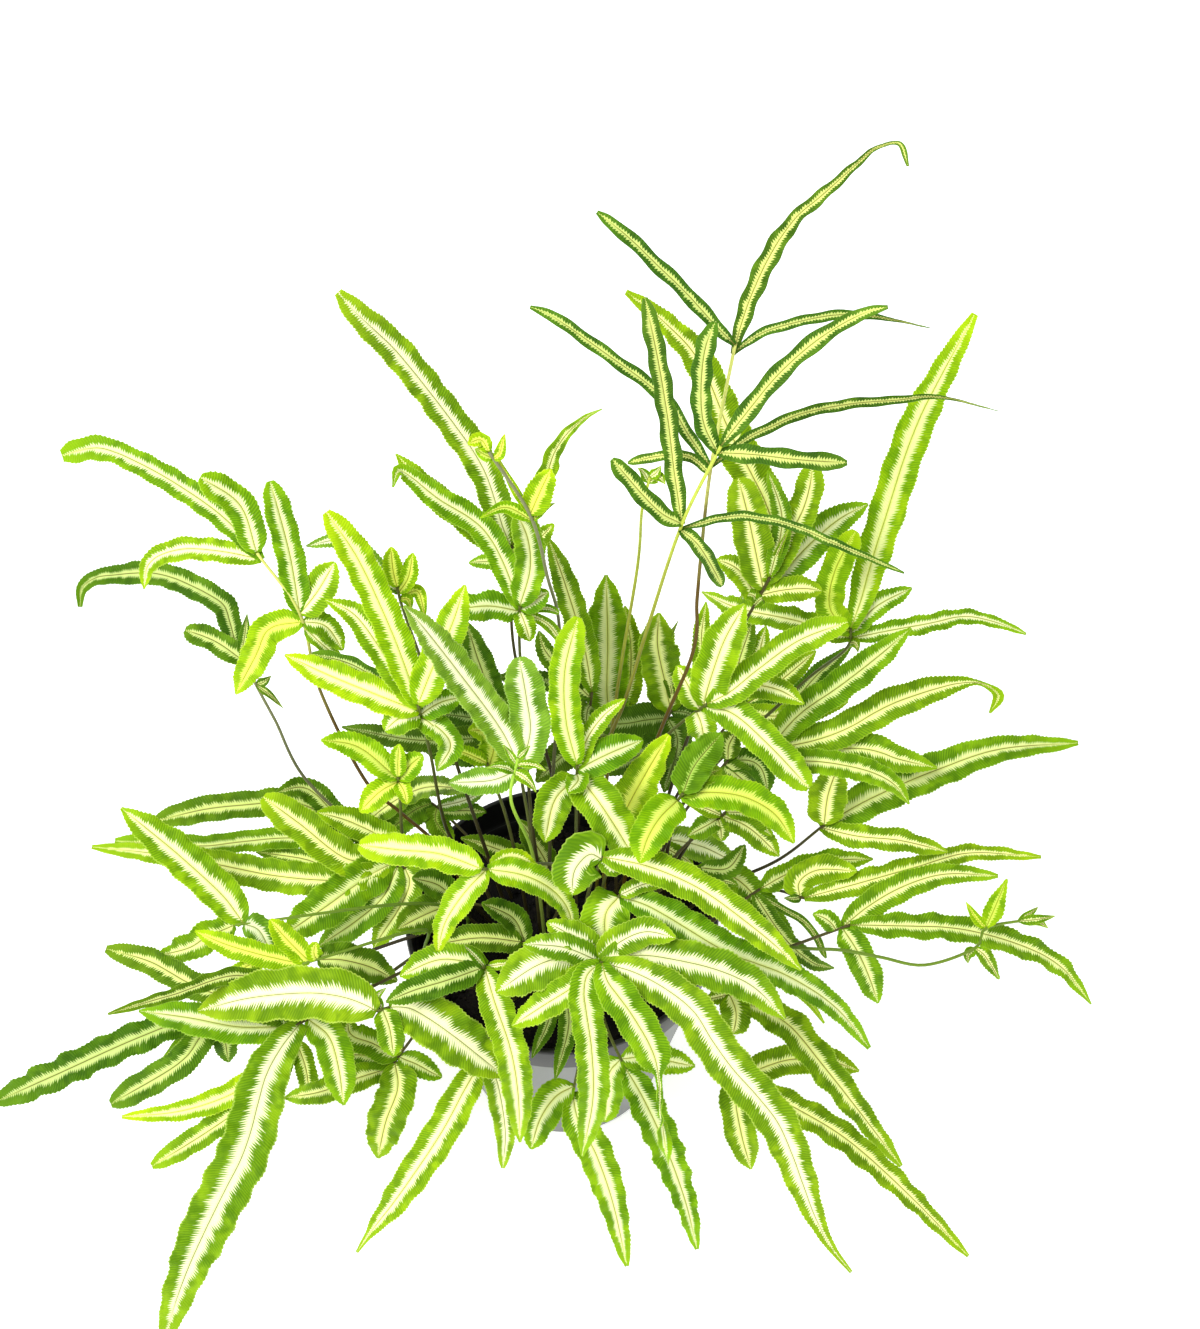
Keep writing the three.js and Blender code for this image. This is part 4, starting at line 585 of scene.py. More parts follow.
def layFronds():
    laid = None
    result = []
    for plan in frondPlans:
        leaves = [(hub, blade) for hub in plan["whorls"] for blade in hub["leaves"]]
        blades = [midribSamples(hub, blade) for hub, blade in leaves]
        lift = liftClear(blades, laid)
        stacked = np.hstack([np.vstack([b[k] for k in ("u", "v", "depth", "half")]) for b in blades])
        laid = stacked if laid is None else np.hstack((laid, stacked))
        hubs = [placeOnSight(h["u"], h["v"], depthAtHeight(h["u"], h["v"], h["height"]) - lift)
                for h in plan["whorls"]]
        midribs = [placeOnSight(b["u"], b["v"], b["depth"]) for b in blades]
        result.append({"plan": plan, "lift": lift, "hubs": hubs, "midribs": midribs,
                       "leaves": [blade for _, blade in leaves]})
    return result


# stems
def footPlaces(laidFronds):  # in a cluster, each towards its frond's side
    feet, spacing = [], stemLaying["crownSpacing"]
    for laidFrond in laidFronds:
        hub = laidFrond["hubs"][0]
        reach = math.hypot(hub[0], hub[1])
        radius = min(stemLaying["footMost"], stemLaying["footNear"] + stemLaying["footShare"] * reach)
        feet.append([hub[0] / reach * radius, hub[1] / reach * radius])
    for _ in range(stemLaying["spreadRounds"]):
        for i, near in enumerate(feet):
            for far in feet[i + 1:]:
                apart = (far[0] - near[0], far[1] - near[1])
                distance = max(0.01, math.hypot(*apart))
                if distance < spacing:
                    push = (spacing - distance) / distance / 2
                    for axis in (0, 1):
                        far[axis] += apart[axis] * push
                        near[axis] -= apart[axis] * push
    return feet


# upright in the soil, with a sway at the middle, by its passes to the hubs
def stemPoints(laidFrond, foot, sway):
    plan, hubs, lift = laidFrond["plan"], laidFrond["hubs"], laidFrond["lift"]
    first, potTop = hubs[0], potShape["height"]
    root = np.array((*foot, soilShape["top"] - soilShape["holeDepth"] + stemLaying["rootRise"]))
    neck = np.array((*foot, soilShape["top"] + stemLaying["neckRise"]))
    passes = [placeOnSight(u, v, depthAtHeight(u, v, height) - lift) for u, v, height in plan["passes"]]
    away = math.hypot(first[0], first[1])  # one that leaves the pot low goes over the rim first
    if not passes and away > stemLaying["overRim"] and first[2] < potTop + stemLaying["lowHub"]:
        shrink = stemLaying["overRim"] / away
        height = max(potTop + stemLaying["overRise"], first[2] * 0.7 + potTop * 0.3 + 3)
        passes.append(np.array((first[0] * shrink, first[1] * shrink, height)))
    after = passes[0] if passes else first
    middle = neck + (after - neck) * stemLaying["middleShare"]
    middle[2] = max(neck[2] + 6, neck[2] + (after[2] - neck[2]) * stemLaying["middleRise"])
    return np.array([root, neck, middle + sway, *passes, *hubs])


# a leaf's length in flat patches: middle, along, across, normal, half length and half width
def leafPatches(laidFrond):
    rows = []
    samples = layering["samples"]
    for blade, midrib in zip(laidFrond["leaves"], laidFrond["midribs"]):
        start, end = midrib[:-1], midrib[1:]
        centre = (start + end) / 2
        along = end - start
        reach = np.linalg.norm(along, axis=1) / 2
        along = unit(along)
        across = unit(np.cross(facingAt(centre), along))
        normal = np.cross(along, across)
        half = np.array([planHalfWidth(blade, (i + 0.5) / samples) for i in range(samples)])
        rows.append(np.column_stack((centre, along, across, normal, reach, half)))
    return np.vstack(rows)


def stemChecks(points):
    return SmoothPath(points).spread(np.arange(stemLaying["checks"] + 1) / stemLaying["checks"])


# how far a stem would run through the rim, the leaves and the stems before it
def crowding(samples, patches, stemSamples):
    radius = np.hypot(samples[:, 0], samples[:, 1])
    outside = stemLaying["outsideRim"]
    inWall = (radius > stemLaying["overRim"] - stemLaying["insideRim"])
    inWall &= (radius < potShape["rimRadius"] + outside) & (samples[:, 2] < potShape["height"] + outside)
    total = stemLaying["rimCost"] * np.count_nonzero(inWall)
    low, high = samples.min(axis=0) - stemLaying["nearBy"], samples.max(axis=0) + stemLaying["nearBy"]
    near = patches[((patches[:, :3] > low) & (patches[:, :3] < high)).all(axis=1)]
    if len(near):
        apart = samples[:, None, :] - near[None, :, 0:3]
        long, wide, deep = (np.abs((apart * near[:, k:k + 3]).sum(axis=2)) for k in (3, 6, 9))
        clear = stemLaying["leafClear"]
        inside = (deep <= clear) & (wide <= near[:, 13] + stemLaying["leafAside"])
        inside &= long <= near[:, 12] + stemLaying["leafAlong"]
        total += float(np.where(inside, 1 - deep / clear, 0).sum())
    if len(stemSamples):
        high = samples[samples[:, 2] > soilShape["top"] + stemLaying["aboveSoil"]]
        apart = np.linalg.norm(high[:, None, :] - stemSamples[None, :, :], axis=2)
        clear = stemLaying["clear"]
        total += float(np.where(apart < clear, 1 - apart / clear, 0).sum())
    return total


def swayStems(laidFronds, feet):  # each stem takes the sway that runs clearest
    allPatches = [leafPatches(laidFrond) for laidFrond in laidFronds]
    stemSamples = np.zeros((0, 3))
    stems = []
    turns = stemLaying["swayTurns"]
    for i, laidFrond in enumerate(laidFronds):
        others = np.vstack([rows for j, rows in enumerate(allPatches) if j != i])
        best = None
        for size in stemLaying["swaySizes"]:
            if best is not None and best[0] <= size * stemLaying["swayCost"]:
                break  # no wider sway can cost less
            for turn in range(turns if size else 1):
                bearing = turn / turns * math.pi * 2
                sway = np.array((math.cos(bearing), math.sin(bearing), 0.0)) * size
                points = stemPoints(laidFrond, feet[i], sway)
                cost = crowding(stemChecks(points), others, stemSamples) + size * stemLaying["swayCost"]
                if best is None or cost < best[0]:
                    best = (cost, points)
        stems.append(best[1])
        stemSamples = np.vstack((stemSamples, stemChecks(best[1])))
    return stems


def seatLeaves(laidFrond, points):  # leaf feet go down the stem in pairs
    curve = SmoothPath(points)
    hubCount = len(laidFrond["hubs"])
    first = 0
    for h, hub in enumerate(laidFrond["hubs"]):
        hubShare = (len(points) - hubCount + h) / (len(points) - 1)
        t = min(hubShare, 0.999)
        ends = curve.at([t - 1e-4, min(1.0, t + 1e-4)])  # the stem's way at the hub
        forward = unit(ends[1] - ends[0])
        count = len(laidFrond["plan"]["whorls"][h]["leaves"])
        turns = []
        for k in range(first, first + count):
            start = unit(laidFrond["midribs"][k][2] - laidFrond["midribs"][k][0])
            turns.append((math.acos(max(-1, min(1, float(start @ forward)))), k))
        turns.sort(key=lambda pair: pair[0])
        for rank, (_, k) in enumerate(turns):
            level = math.ceil(rank / 2) if h == hubCount - 1 else rank // 2
            share = hubShare
            while np.linalg.norm(curve.at(share)[0] - hub) < level * stemLaying["rootStep"]:
                share -= stemLaying["searchStep"]
            shift = curve.at(share)[0] - hub
            fade = (1 - np.arange(layering["samples"] + 1) / layering["samples"]) ** 2
            laidFrond["midribs"][k] = laidFrond["midribs"][k] + shift * fade[:, None]
        first += count


laidFronds = layFronds()
stems = swayStems(laidFronds, footPlaces(laidFronds))
for laidFrond, points in zip(laidFronds, stems):
    seatLeaves(laidFrond, points)
print("fronds laid,", sum(len(laidFrond["leaves"]) for laidFrond in laidFronds), "leaves")


# shader graphs: a Field is a number that changes over a surface
def mathsOf(operation):
    return lambda field, *others: field.graph.maths(operation, field, *others)


class Field:
    def __init__(self, graph, socket):
        self.graph, self.socket = graph, socket

    def __rsub__(self, other):
        return self.graph.maths("SUBTRACT", other, self)

    __add__ = __radd__ = mathsOf("ADD")
    __mul__ = __rmul__ = mathsOf("MULTIPLY")
    __sub__, __truediv__, __pow__ = mathsOf("SUBTRACT"), mathsOf("DIVIDE"), mathsOf("POWER")
    __abs__, floor, smallest = mathsOf("ABSOLUTE"), mathsOf("FLOOR"), mathsOf("MINIMUM")
    wrapped = mathsOf("FRACT")  # the part after the point

    def ramp(self, start, end):  # 0 at start, 1 at end, smooth between
        settings = {"interpolation_type": "SMOOTHSTEP"}
        sockets = {"Value": self, "From Min": start, "From Max": end}
        return Field(self.graph, self.graph.node("ShaderNodeMapRange", settings, sockets).outputs[0])


class Graph:
    def __init__(self, name):
        self.material = bpy.data.materials.new(name)
        self.material.use_nodes = True
        self.tree = self.material.node_tree
        self.tree.nodes.clear()
        self.shader = self.node("ShaderNodeBsdfPrincipled")
        output = self.node("ShaderNodeOutputMaterial")
        self.tree.links.new(self.shader.outputs[0], output.inputs[0])

    def node(self, kind, settings=None, sockets=None):
        node = self.tree.nodes.new(kind)
        for key, value in (settings or {}).items():
            setattr(node, key, value)
        for key, value in (sockets or {}).items():
            self.feed(node.inputs[key], value)
        return node

    def feed(self, socket, value):
        if isinstance(value, Field):
            self.tree.links.new(value.socket, socket)
        elif isinstance(value, bpy.types.NodeSocket):
            self.tree.links.new(value, socket)
        elif isinstance(value, tuple):
            socket.default_value = (*value, 1.0)
        else:
            socket.default_value = value

    def maths(self, operation, *values):
        node = self.node("ShaderNodeMath", {"operation": operation}, dict(enumerate(values)))
        return Field(self, node.outputs[0])

    def colours(self, factor, first, second):
        sockets = {"Factor": factor, 6: first, 7: second}
        return self.node("ShaderNodeMix", {"data_type": "RGBA"}, sockets).outputs[2]

    def place(self):
        return self.node("ShaderNodeTexCoord").outputs["Object"]

    def noise(self, scale, detail, vector=None):
        vector = self.place() if vector is None else vector
        sockets = {"Vector": vector, "Scale": scale, "Detail": detail}
        return Field(self, self.node("ShaderNodeTexNoise", None, sockets).outputs[0])

    def parts(self, vector):
        return [Field(self, part) for part in self.node("ShaderNodeSeparateXYZ", None, {0: vector}).outputs]

    def joined(self, *parts):
        return self.node("ShaderNodeCombineXYZ", None, dict(enumerate(parts))).outputs[0]

    def uv(self, name):  # a map's two numbers
        return self.parts(self.node("ShaderNodeUVMap", {"uv_map": name}).outputs[0])[:2]

    def attribute(self, name):
        return Field(self, self.node("ShaderNodeAttribute", {"attribute_name": name}).outputs["Fac"])

    def finish(self, colour, height=None, depth=None, **sockets):
        self.feed(self.shader.inputs["Base Color"], colour)
        for key, value in sockets.items():
            self.feed(self.shader.inputs[key.replace("_", " ")], value)
        if height is not None:
            bump = self.node("ShaderNodeBump", None, {"Strength": 1.0, "Distance": depth, "Height": height})
            self.feed(self.shader.inputs["Normal"], bump.outputs[0])
        return self.material


def paint(red, green, blue):  # a screen colour, 0 to 255, as light
    return tuple((c / 255 / 12.92) if c / 255 <= 0.04045 else ((c / 255 + 0.055) / 1.055) ** 2.4
                 for c in (red, green, blue))


def painted(look):  # a dictionary of finishes with its screen colours as light
    return {key: paint(*value) if isinstance(value, tuple) else value for key, value in look.items()}


# leaf finishes: stripe is the share of the half width, reach how far its comb edge runs out
# edge is a painted highlight along each leaf's rim
# the rib green is the vein colour and also paints shade on the margins
leafFinishes = {
    "dark": {"margin": (88, 128, 14), "rib": (56, 92, 6), "edge": (144, 180, 66),
             "tip": (114, 154, 22), "centre": (216, 230, 138), "middle": (204, 218, 112),
             "midrib": (84, 78, 30), "stripe": 0.33, "reach": 0.26, "fade": 0.25},
    "green": {"margin": (116, 158, 8), "rib": (78, 118, 4), "edge": (178, 214, 70),
              "tip": (150, 192, 16), "centre": (236, 244, 160), "middle": (226, 236, 124),
              "midrib": (108, 102, 38), "stripe": 0.31, "reach": 0.26, "fade": 0.20},
    "light": {"margin": (120, 166, 8), "rib": (82, 126, 4), "edge": (188, 222, 78),
              "tip": (154, 198, 16), "centre": (242, 248, 182), "middle": (232, 240, 136),
              "midrib": (136, 138, 46), "stripe": 0.35, "reach": 0.26, "fade": 0.18},
    "pale": {"margin": (110, 152, 12), "rib": (78, 120, 6), "edge": (188, 218, 90),
             "tip": (152, 192, 22), "centre": (242, 246, 192), "middle": (238, 243, 176),
             "midrib": (106, 114, 34), "stripe": 0.34, "reach": 0.30, "fade": 0.20},
    "young": {"margin": (138, 184, 4), "rib": (100, 146, 2), "edge": (198, 228, 60),
              "tip": (176, 214, 12), "centre": (228, 242, 104), "middle": (226, 238, 84),
              "midrib": (146, 150, 36), "stripe": 0.37, "reach": 0.26, "fade": 0.22},
    "bright": {"margin": (144, 188, 4), "rib": (104, 150, 2), "edge": (202, 230, 76),
               "tip": (184, 216, 14), "centre": (246, 251, 166), "middle": (240, 248, 120),
               "midrib": (160, 170, 56), "stripe": 0.41, "reach": 0.26, "fade": 0.26},
    "lime": {"margin": (142, 184, 4), "rib": (106, 150, 2), "edge": (202, 230, 60),
             "tip": (184, 216, 12), "centre": (222, 240, 92), "middle": (222, 238, 78),
             "midrib": (150, 160, 38), "stripe": 0.28, "reach": 0.24, "fade": 0.24},
    "sage": {"margin": (122, 166, 38), "rib": (84, 126, 24), "edge": (176, 210, 106),
             "tip": (138, 180, 54), "centre": (244, 249, 204), "middle": (236, 244, 176),
             "midrib": (124, 126, 62), "stripe": 0.37, "reach": 0.28, "fade": 0.20},
    # shade is a darker copy of the leaf paint: painted shade for leaves deep inside the plant
    "shade": {"margin": (72, 106, 14), "rib": (46, 76, 6), "edge": (112, 146, 50),
              "tip": (90, 128, 20), "centre": (158, 178, 106), "middle": (142, 164, 80),
              "midrib": (66, 68, 28), "stripe": 0.24, "reach": 0.26, "fade": 0.25},
    "faint": {"margin": (106, 146, 12), "rib": (76, 112, 6), "edge": (160, 196, 70),
              "tip": (128, 170, 22), "centre": (170, 202, 80), "middle": (186, 212, 90),
              "midrib": (100, 98, 34), "stripe": 0.16, "reach": 0.22, "fade": 0.3},
    "fertile": {"margin": (72, 114, 22), "rib": (48, 86, 14), "edge": (84, 124, 44),
                "tip": (96, 140, 26), "centre": (218, 230, 128), "middle": (214, 226, 112),
                "midrib": (120, 118, 50), "stripe": 0.39, "reach": 0.32, "fade": 0.12},
    "ribs": {"pitch": 1.15, "slope": 0.50, "midribHalf": 0.22, "depth": 0.00022},
}


def leafMaterial(name):
    look, ribs = painted(leafFinishes[name]), leafFinishes["ribs"]
    graph = Graph("leaf " + name)
    across, share = graph.uv("Leaf")
    aside, along = graph.uv("Ribs")
    tint = graph.attribute("tint")
    side = abs(across * 2 - 1)
    outward = abs(aside)
    lean = (along - outward * ribs["slope"]) / ribs["pitch"] + across.ramp(0.499, 0.501) * 37.5
    place = graph.joined(aside * 0.05, along * 0.05, tint * 9)
    cloud = graph.noise(1.6, 2.0, place)
    patch = graph.noise(3.4, 1.0, place)
    comb = abs(lean.wrapped() * 2 - 1)  # 0 on a side rib, 1 between two
    each = graph.node("ShaderNodeTexWhiteNoise", {"noise_dimensions": "1D"}, {"W": lean.floor()})
    each = Field(graph, each.outputs[0])
    taper = (share / 0.06).smallest(1.0) * ((1 - share) / look["fade"]).smallest(1.0) ** 0.6
    edge = look["stripe"] * taper + look["reach"] * (each - 0.5) * 0.6 + (cloud - 0.5) * 0.25
    edge = edge + (0.5 - comb) * look["reach"] + (patch - 0.5) * 0.16
    striped = ((edge - side) / 0.08 + 0.5).ramp(0.0, 1.0) * share.ramp(0.005, 0.03)
    margin = graph.colours(comb.ramp(0.8, 0.15) * 0.75, look["margin"], look["rib"])
    # lighter patches: partly the leaf's own uneven colour, partly painted light where its waves would catch
    # the light
    margin = graph.colours(cloud.ramp(0.45, 0.7) * 0.6, margin, look["tip"])
    # painted shade: dark patches on the margin where its waves would lie in shade
    margin = graph.colours(patch.ramp(0.52, 0.34) * 0.65, margin, look["rib"])
    # painted shade: the margin darker next to the stripe
    margin = graph.colours(side.ramp(0.8, 0.3) * 0.3, margin, look["rib"])
    margin = graph.colours(share.ramp(0.72, 1.0) * 0.7, margin, look["tip"])
    # painted highlight: a light line along the leaf's rim
    margin = graph.colours(side.ramp(0.92, 0.99) * 0.6, margin, look["edge"])
    centre = graph.colours(side.ramp(0.16, 0.0), look["centre"], look["middle"])
    centre = graph.colours(comb.ramp(0.8, 0.1) * side.ramp(0.1, 0.5) * 0.28, centre, look["margin"])
    colour = graph.colours(striped, margin, centre)
    thin = ribs["midribHalf"]
    midrib = outward.ramp(thin * 1.5, thin * 0.5) * share.ramp(0.99, 0.8)
    colour = graph.colours(midrib * 0.85, colour, look["midrib"])
    shade = graph.node("ShaderNodeHueSaturation", None, {
        "Hue": 0.5 - (tint - 0.5) * 0.02, "Value": 0.86 + tint * 0.26, "Color": colour})
    height = comb.ramp(0.0, 0.9) * 0.5 + outward.ramp(0.9, 0.1) * -0.9 + cloud * 0.4
    return graph.finish(shade.outputs[0], height, ribs["depth"], Roughness=0.5, Specular_IOR_Level=0.07)


stemFinishes = {  # foot colour, top colour and where the top colour sets in
    "brown": ((46, 40, 22), (76, 72, 36), 0.25),
    "olive": ((56, 50, 26), (92, 100, 44), 0.25),
    "straw": ((112, 104, 34), (190, 204, 78), 0.35),
    "grey": ((74, 74, 44), (126, 130, 92), 0.25),
    "tall": ((86, 66, 20), (208, 214, 112), 0.66),
    "fresh": ((104, 120, 48), (164, 206, 66), 0.25),
    "hidden": ((66, 92, 20), (112, 140, 44), 0.25),
}


def stemMaterial(name):
    foot, top, start = stemFinishes[name]
    foot, top = paint(*foot), paint(*top)
    graph = Graph("stem " + name)
    share = graph.uv("Leaf")[1]
    cloud = graph.noise(90.0, 2.0)
    colour = graph.colours((share + (cloud - 0.5) * 0.2).ramp(start, 0.95), foot, top)
    colour = graph.colours(graph.noise(600.0, 1.0).ramp(0.6, 0.75) * 0.35, colour, foot)
    return graph.finish(colour, graph.noise(900.0, 2.0), 0.00008, Roughness=0.45, Specular_IOR_Level=0.15)


leafShape = {  # mm, degrees and shares of the width
    "rowPitch": 0.88, "leastRows": 9,  # two rows to a tooth
    "columns": (-1, -0.9, -0.72, -0.48, -0.24, -0.07, 0, 0.07, 0.24, 0.48, 0.72, 0.9, 1),
    "fullness": 1.15, "tooth": 0.5, "toothLean": 0.3, "swell": 0.05, "thickness": 0.32, "fold": 0.16,
    "wave": 0.068, "wavyWave": 0.13, "waveLength": 10.5, "roll": 14, "tailRoll": 260, "tailFrom": 0.62,
}
stemShape = {  # mm; the start is any direction that no stem runs along
    "sides": 8, "foot": 0.75, "top": 0.46, "ringPitch": 3, "leastRings": 20, "start": (0.31, 0.95, 0.12),
}


def leafHalf(blade, share):  # mm, with the outline's corners softened
    knots = outlines[blade["outline"]]
    shares, widths = [knot[0] for knot in knots], [knot[1] for knot in knots]
    outline = sum(np.interp(share + shift, shares, widths) for shift in (-0.02, 0, 0.02)) / 3
    foot = (0.5 + 0.35 * np.minimum(1, share * 10)) * np.minimum(1, (1 - share) / 0.04)
    least = 0.3 if blade["form"] in ("narrow", "tail", "young") else 1
    return np.maximum(np.maximum(foot * least, 0.1), blade["width"] / 2 * leafShape["fullness"] * outline)


def bladeFrames(curve, share):
    centre = curve.at(share)
    along = unit(curve.at(np.minimum(1, share + 0.02)) - curve.at(np.maximum(0, share - 0.02)))
    across = unit(np.cross(facingAt(centre), along))
    return centre, along, across, np.cross(along, across)


# places on a leaf, and how far they lie aside of the midrib and along it
def leafPoints(side, share, blade, midrib, luck):
    curve = SmoothPath(midrib)
    length = curve.length()
    centre, along, across, normal = bladeFrames(curve, share)
    half = leafHalf(blade, share)
    run = share * length
    smooth = blade["form"] in ("narrow", "young")
    beat = np.round(run / leafShape["rowPitch"]).astype(int) % 2
    tooth = np.array((-0.5, 0.5))[beat] * leafShape["tooth"] * (0.1 if smooth else 1)
    tooth = tooth * np.minimum(1, np.minimum(share, 1 - share) * 9) * np.minimum(1, half / 4)
    aside = np.abs(side)
    hand = np.where(side < 0, 0.0, 1.0)
    phase = luck[0] * 6.28 + hand * (1.4 + luck[1] * 2.5)  # the two sides wave apart
    period = leafShape["waveLength"] * (0.8 + 0.5 * luck[2])
    roll = run / period * 2 * np.pi
    wobble = np.sin(roll + phase + 1.1 * np.sin(roll * 0.37 + luck[3] * 6))
    ends = np.minimum(1, np.minimum(share * 7, (1 - share) * 6))
    size = leafShape["wavyWave"] if blade["form"] == "wavy" else leafShape["wave"]
    size = size * 0.8 if smooth else size
    wave = size * blade["width"] * wobble * aside ** 2.2 * ends
    swell = leafShape["swell"] * {"narrow": 2.2, "wavy": 2}.get(blade["form"], 1)
    breadth = half * (1 + swell * np.sin(roll * 0.8 + phase * 1.7) * ends) + tooth
    reach = side * breadth
    fold = leafShape["fold"] * half * aside * (1.12 - 0.3 * aside * aside)
    turn = np.radians((luck[4] - 0.5) * leafShape["roll"]) * ends
    if blade["form"] == "tail":  # it curls over towards its tip
        curl = (share - leafShape["tailFrom"]).clip(0) / (1 - leafShape["tailFrom"])
        turn = turn + np.radians(leafShape["tailRoll"]) * curl ** 1.2
    lift = fold + wave
    flat = reach * np.cos(turn) - lift * np.sin(turn)
    high = reach * np.sin(turn) + lift * np.cos(turn)
    forward = np.where(beat == 1, leafShape["toothLean"], 0.0) * (aside > 0.95) * (0 if smooth else 1)
    points = centre + across * flat[:, None] + normal * high[:, None] + along * forward[:, None]
    return points, reach, run


def tubePoints(turn, share, points):
    curve = SmoothPath(points)
    centre = curve.spread(share)
    ahead, behind = curve.spread(np.minimum(1, share + 0.004)), curve.spread(np.maximum(0, share - 0.004))
    along = unit(ahead - behind)
    across = unit(np.cross(along, np.array(stemShape["start"])))
    normal = np.cross(along, across)
    radius = (stemShape["foot"] + (stemShape["top"] - stemShape["foot"]) * share)[:, None]
    return centre + radius * (across * np.cos(turn)[:, None] + normal * np.sin(turn)[:, None])


def meshFrom(name, shape):
    mesh = bpy.data.meshes.new(name)
    shape.to_mesh(mesh)
    shape.free()
    return mesh


def placesIn(mesh):
    places = np.zeros(len(mesh.vertices) * 3)
    mesh.vertices.foreach_get("co", places)
    return places.reshape(-1, 3)


def setPlaces(mesh, places):  # mm
    mesh.vertices.foreach_set("co", (places / 1000).ravel())


def smoothShaded(mesh, angle=None):  # edges steeper than the angle stay sharp
    mesh.polygons.foreach_set("use_smooth", np.ones(len(mesh.polygons), bool))
    if angle:
        mesh.set_sharp_from_angle(angle=math.radians(angle))
    mesh.update()


def added(name, data):
    piece = bpy.data.objects.new(name, data)
    bpy.context.scene.collection.objects.link(piece)
    return piece


stemTones = {"dark": "brown", "green": "brown", "light": "olive", "pale": "olive", "young": "olive"}


# each leaf starts as a flat grid on its own level, and the stem as a grid on the level above them
def buildFrond(laidFrond, points, seed):
    plan, name, leaves = laidFrond["plan"], laidFrond["plan"]["name"], laidFrond["leaves"]
    chance = random.Random(seed)
    lengths = [SmoothPath(midrib).length() for midrib in laidFrond["midribs"]]
    stemLength = SmoothPath(points).length()
    columns = len(leafShape["columns"]) - 1
    grids = [(columns, max(leafShape["leastRows"], round(length / leafShape["rowPitch"])))
             for length in lengths]
    rings = max(stemShape["leastRings"], round(stemLength / stemShape["ringPitch"]))
    grids.append((stemShape["sides"], rings))
    shape = bmesh.new()
    for k, (wide, high) in enumerate(grids):
        place = Matrix.Translation((0.0, 0.0, float(k)))
        bmesh.ops.create_grid(shape, x_segments=wide, y_segments=high, size=0.5, matrix=place)
    mesh = meshFrom(name + "_leaves", shape)

    flat = placesIn(mesh)
    count = len(flat)
    level = np.round(flat[:, 2]).astype(int)
    spread = np.zeros((count, 3))
    leafMap, ribMap = np.zeros((count, 2)), np.zeros((count, 2))
    tint = np.full(count, 0.5)
    for k, (blade, midrib) in enumerate(zip(leaves, laidFrond["midribs"])):
        chosen = level == k
        side = np.interp(flat[chosen, 0] + 0.5, np.linspace(0, 1, columns + 1), leafShape["columns"])
        share = flat[chosen, 1] + 0.5
        luck = [chance.random() for _ in range(6)]
        spread[chosen], reach, run = leafPoints(side, share, blade, midrib, luck)
        leafMap[chosen] = np.column_stack((side * 0.5 + 0.5, share))
        ribMap[chosen] = np.column_stack((reach, run + 40 * k))
        tint[chosen] = luck[5]
    chosen = level == len(leaves)
    share = flat[chosen, 1] + 0.5
    spread[chosen] = tubePoints((flat[chosen, 0] + 0.5) * 2 * np.pi, share, points)
    leafMap[chosen] = np.column_stack((flat[chosen, 0] + 0.5, share))
    ribMap[chosen] = np.column_stack((flat[chosen, 0], share * stemLength))
    setPlaces(mesh, spread)
    corners = np.zeros(len(mesh.loops), int)
    mesh.loops.foreach_get("vertex_index", corners)
    for mapName, values in (("Leaf", leafMap), ("Ribs", ribMap)):
        mesh.uv_layers.new(name=mapName).data.foreach_set("uv", values[corners].ravel())
    mesh.attributes.new("tint", "FLOAT", "POINT").data.foreach_set("value", tint)

    tones = [blade["tone"] or plan["tone"] for blade in leaves]
    used = sorted(set(tones))
    for tone in used:
        mesh.materials.append(leafMaterials[tone])
    mesh.materials.append(stemMaterials[plan["stem"] or stemTones[plan["tone"]]])
    starts = np.zeros(len(mesh.polygons), int)
    mesh.polygons.foreach_get("loop_start", starts)
    indexes = np.array([used.index(tone) for tone in tones] + [len(used)])
    mesh.polygons.foreach_set("material_index", indexes[level[corners[starts]]])
    smoothShaded(mesh)

    piece = added(name + "_leaves", mesh)
    thicken = piece.modifiers.new("thickness", "SOLIDIFY")
    thicken.thickness, thicken.offset = leafShape["thickness"] / 1000, 0.0
    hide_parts(name)
    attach(piece, "root")
    "leaf_" + plan["tone"]


leafMaterials = {name: leafMaterial(name) for name in leafFinishes if name != "ribs"}
stemMaterials = {name: stemMaterial(name) for name in stemFinishes}
for number, (laidFrond, points) in enumerate(zip(laidFronds, stems)):
    buildFrond(laidFrond, points, 100 + number)
print("leaves built")


# pot and soil
def closed(shape):  # doubled corners merged, faces turned outward
    bmesh.ops.remove_doubles(shape, verts=shape.verts[:], dist=1e-6)
    bmesh.ops.recalc_face_normals(shape, faces=shape.faces[:])
    return shape


def spunPiece(name, profile, steps):  # profile is radius and height, mm, from the axis and back to it
    shape = bmesh.new()
    corners = [shape.verts.new((radius / 1000, 0.0, height / 1000)) for radius, height in profile]
    edges = [shape.edges.new(pair) for pair in zip(corners, corners[1:])]
    bmesh.ops.spin(shape, geom=corners + edges, cent=(0, 0, 0), axis=(0, 0, 1), angle=2 * math.pi,
                   steps=steps, use_merge=True, use_duplicate=False)
    return added(name, meshFrom(name, closed(shape)))


def roundedProfile(corners, rounding):  # each corner given a small arc
    result = [corners[0]]
    for before, here, after in zip(corners, corners[1:], corners[2:]):
        before, here, after = np.array((before, here, after), float)
        first, last = before - here, after - here
        cut = min(rounding, np.linalg.norm(first) * 0.4, np.linalg.norm(last) * 0.4)
        first, last = here + unit(first) * cut, here + unit(last) * cut
        for t in (0.0, 0.33, 0.67, 1.0):
            result.append(tuple(first * (1 - t) ** 2 + here * 2 * t * (1 - t) + last * t * t))
    result.append(corners[-1])
    return result


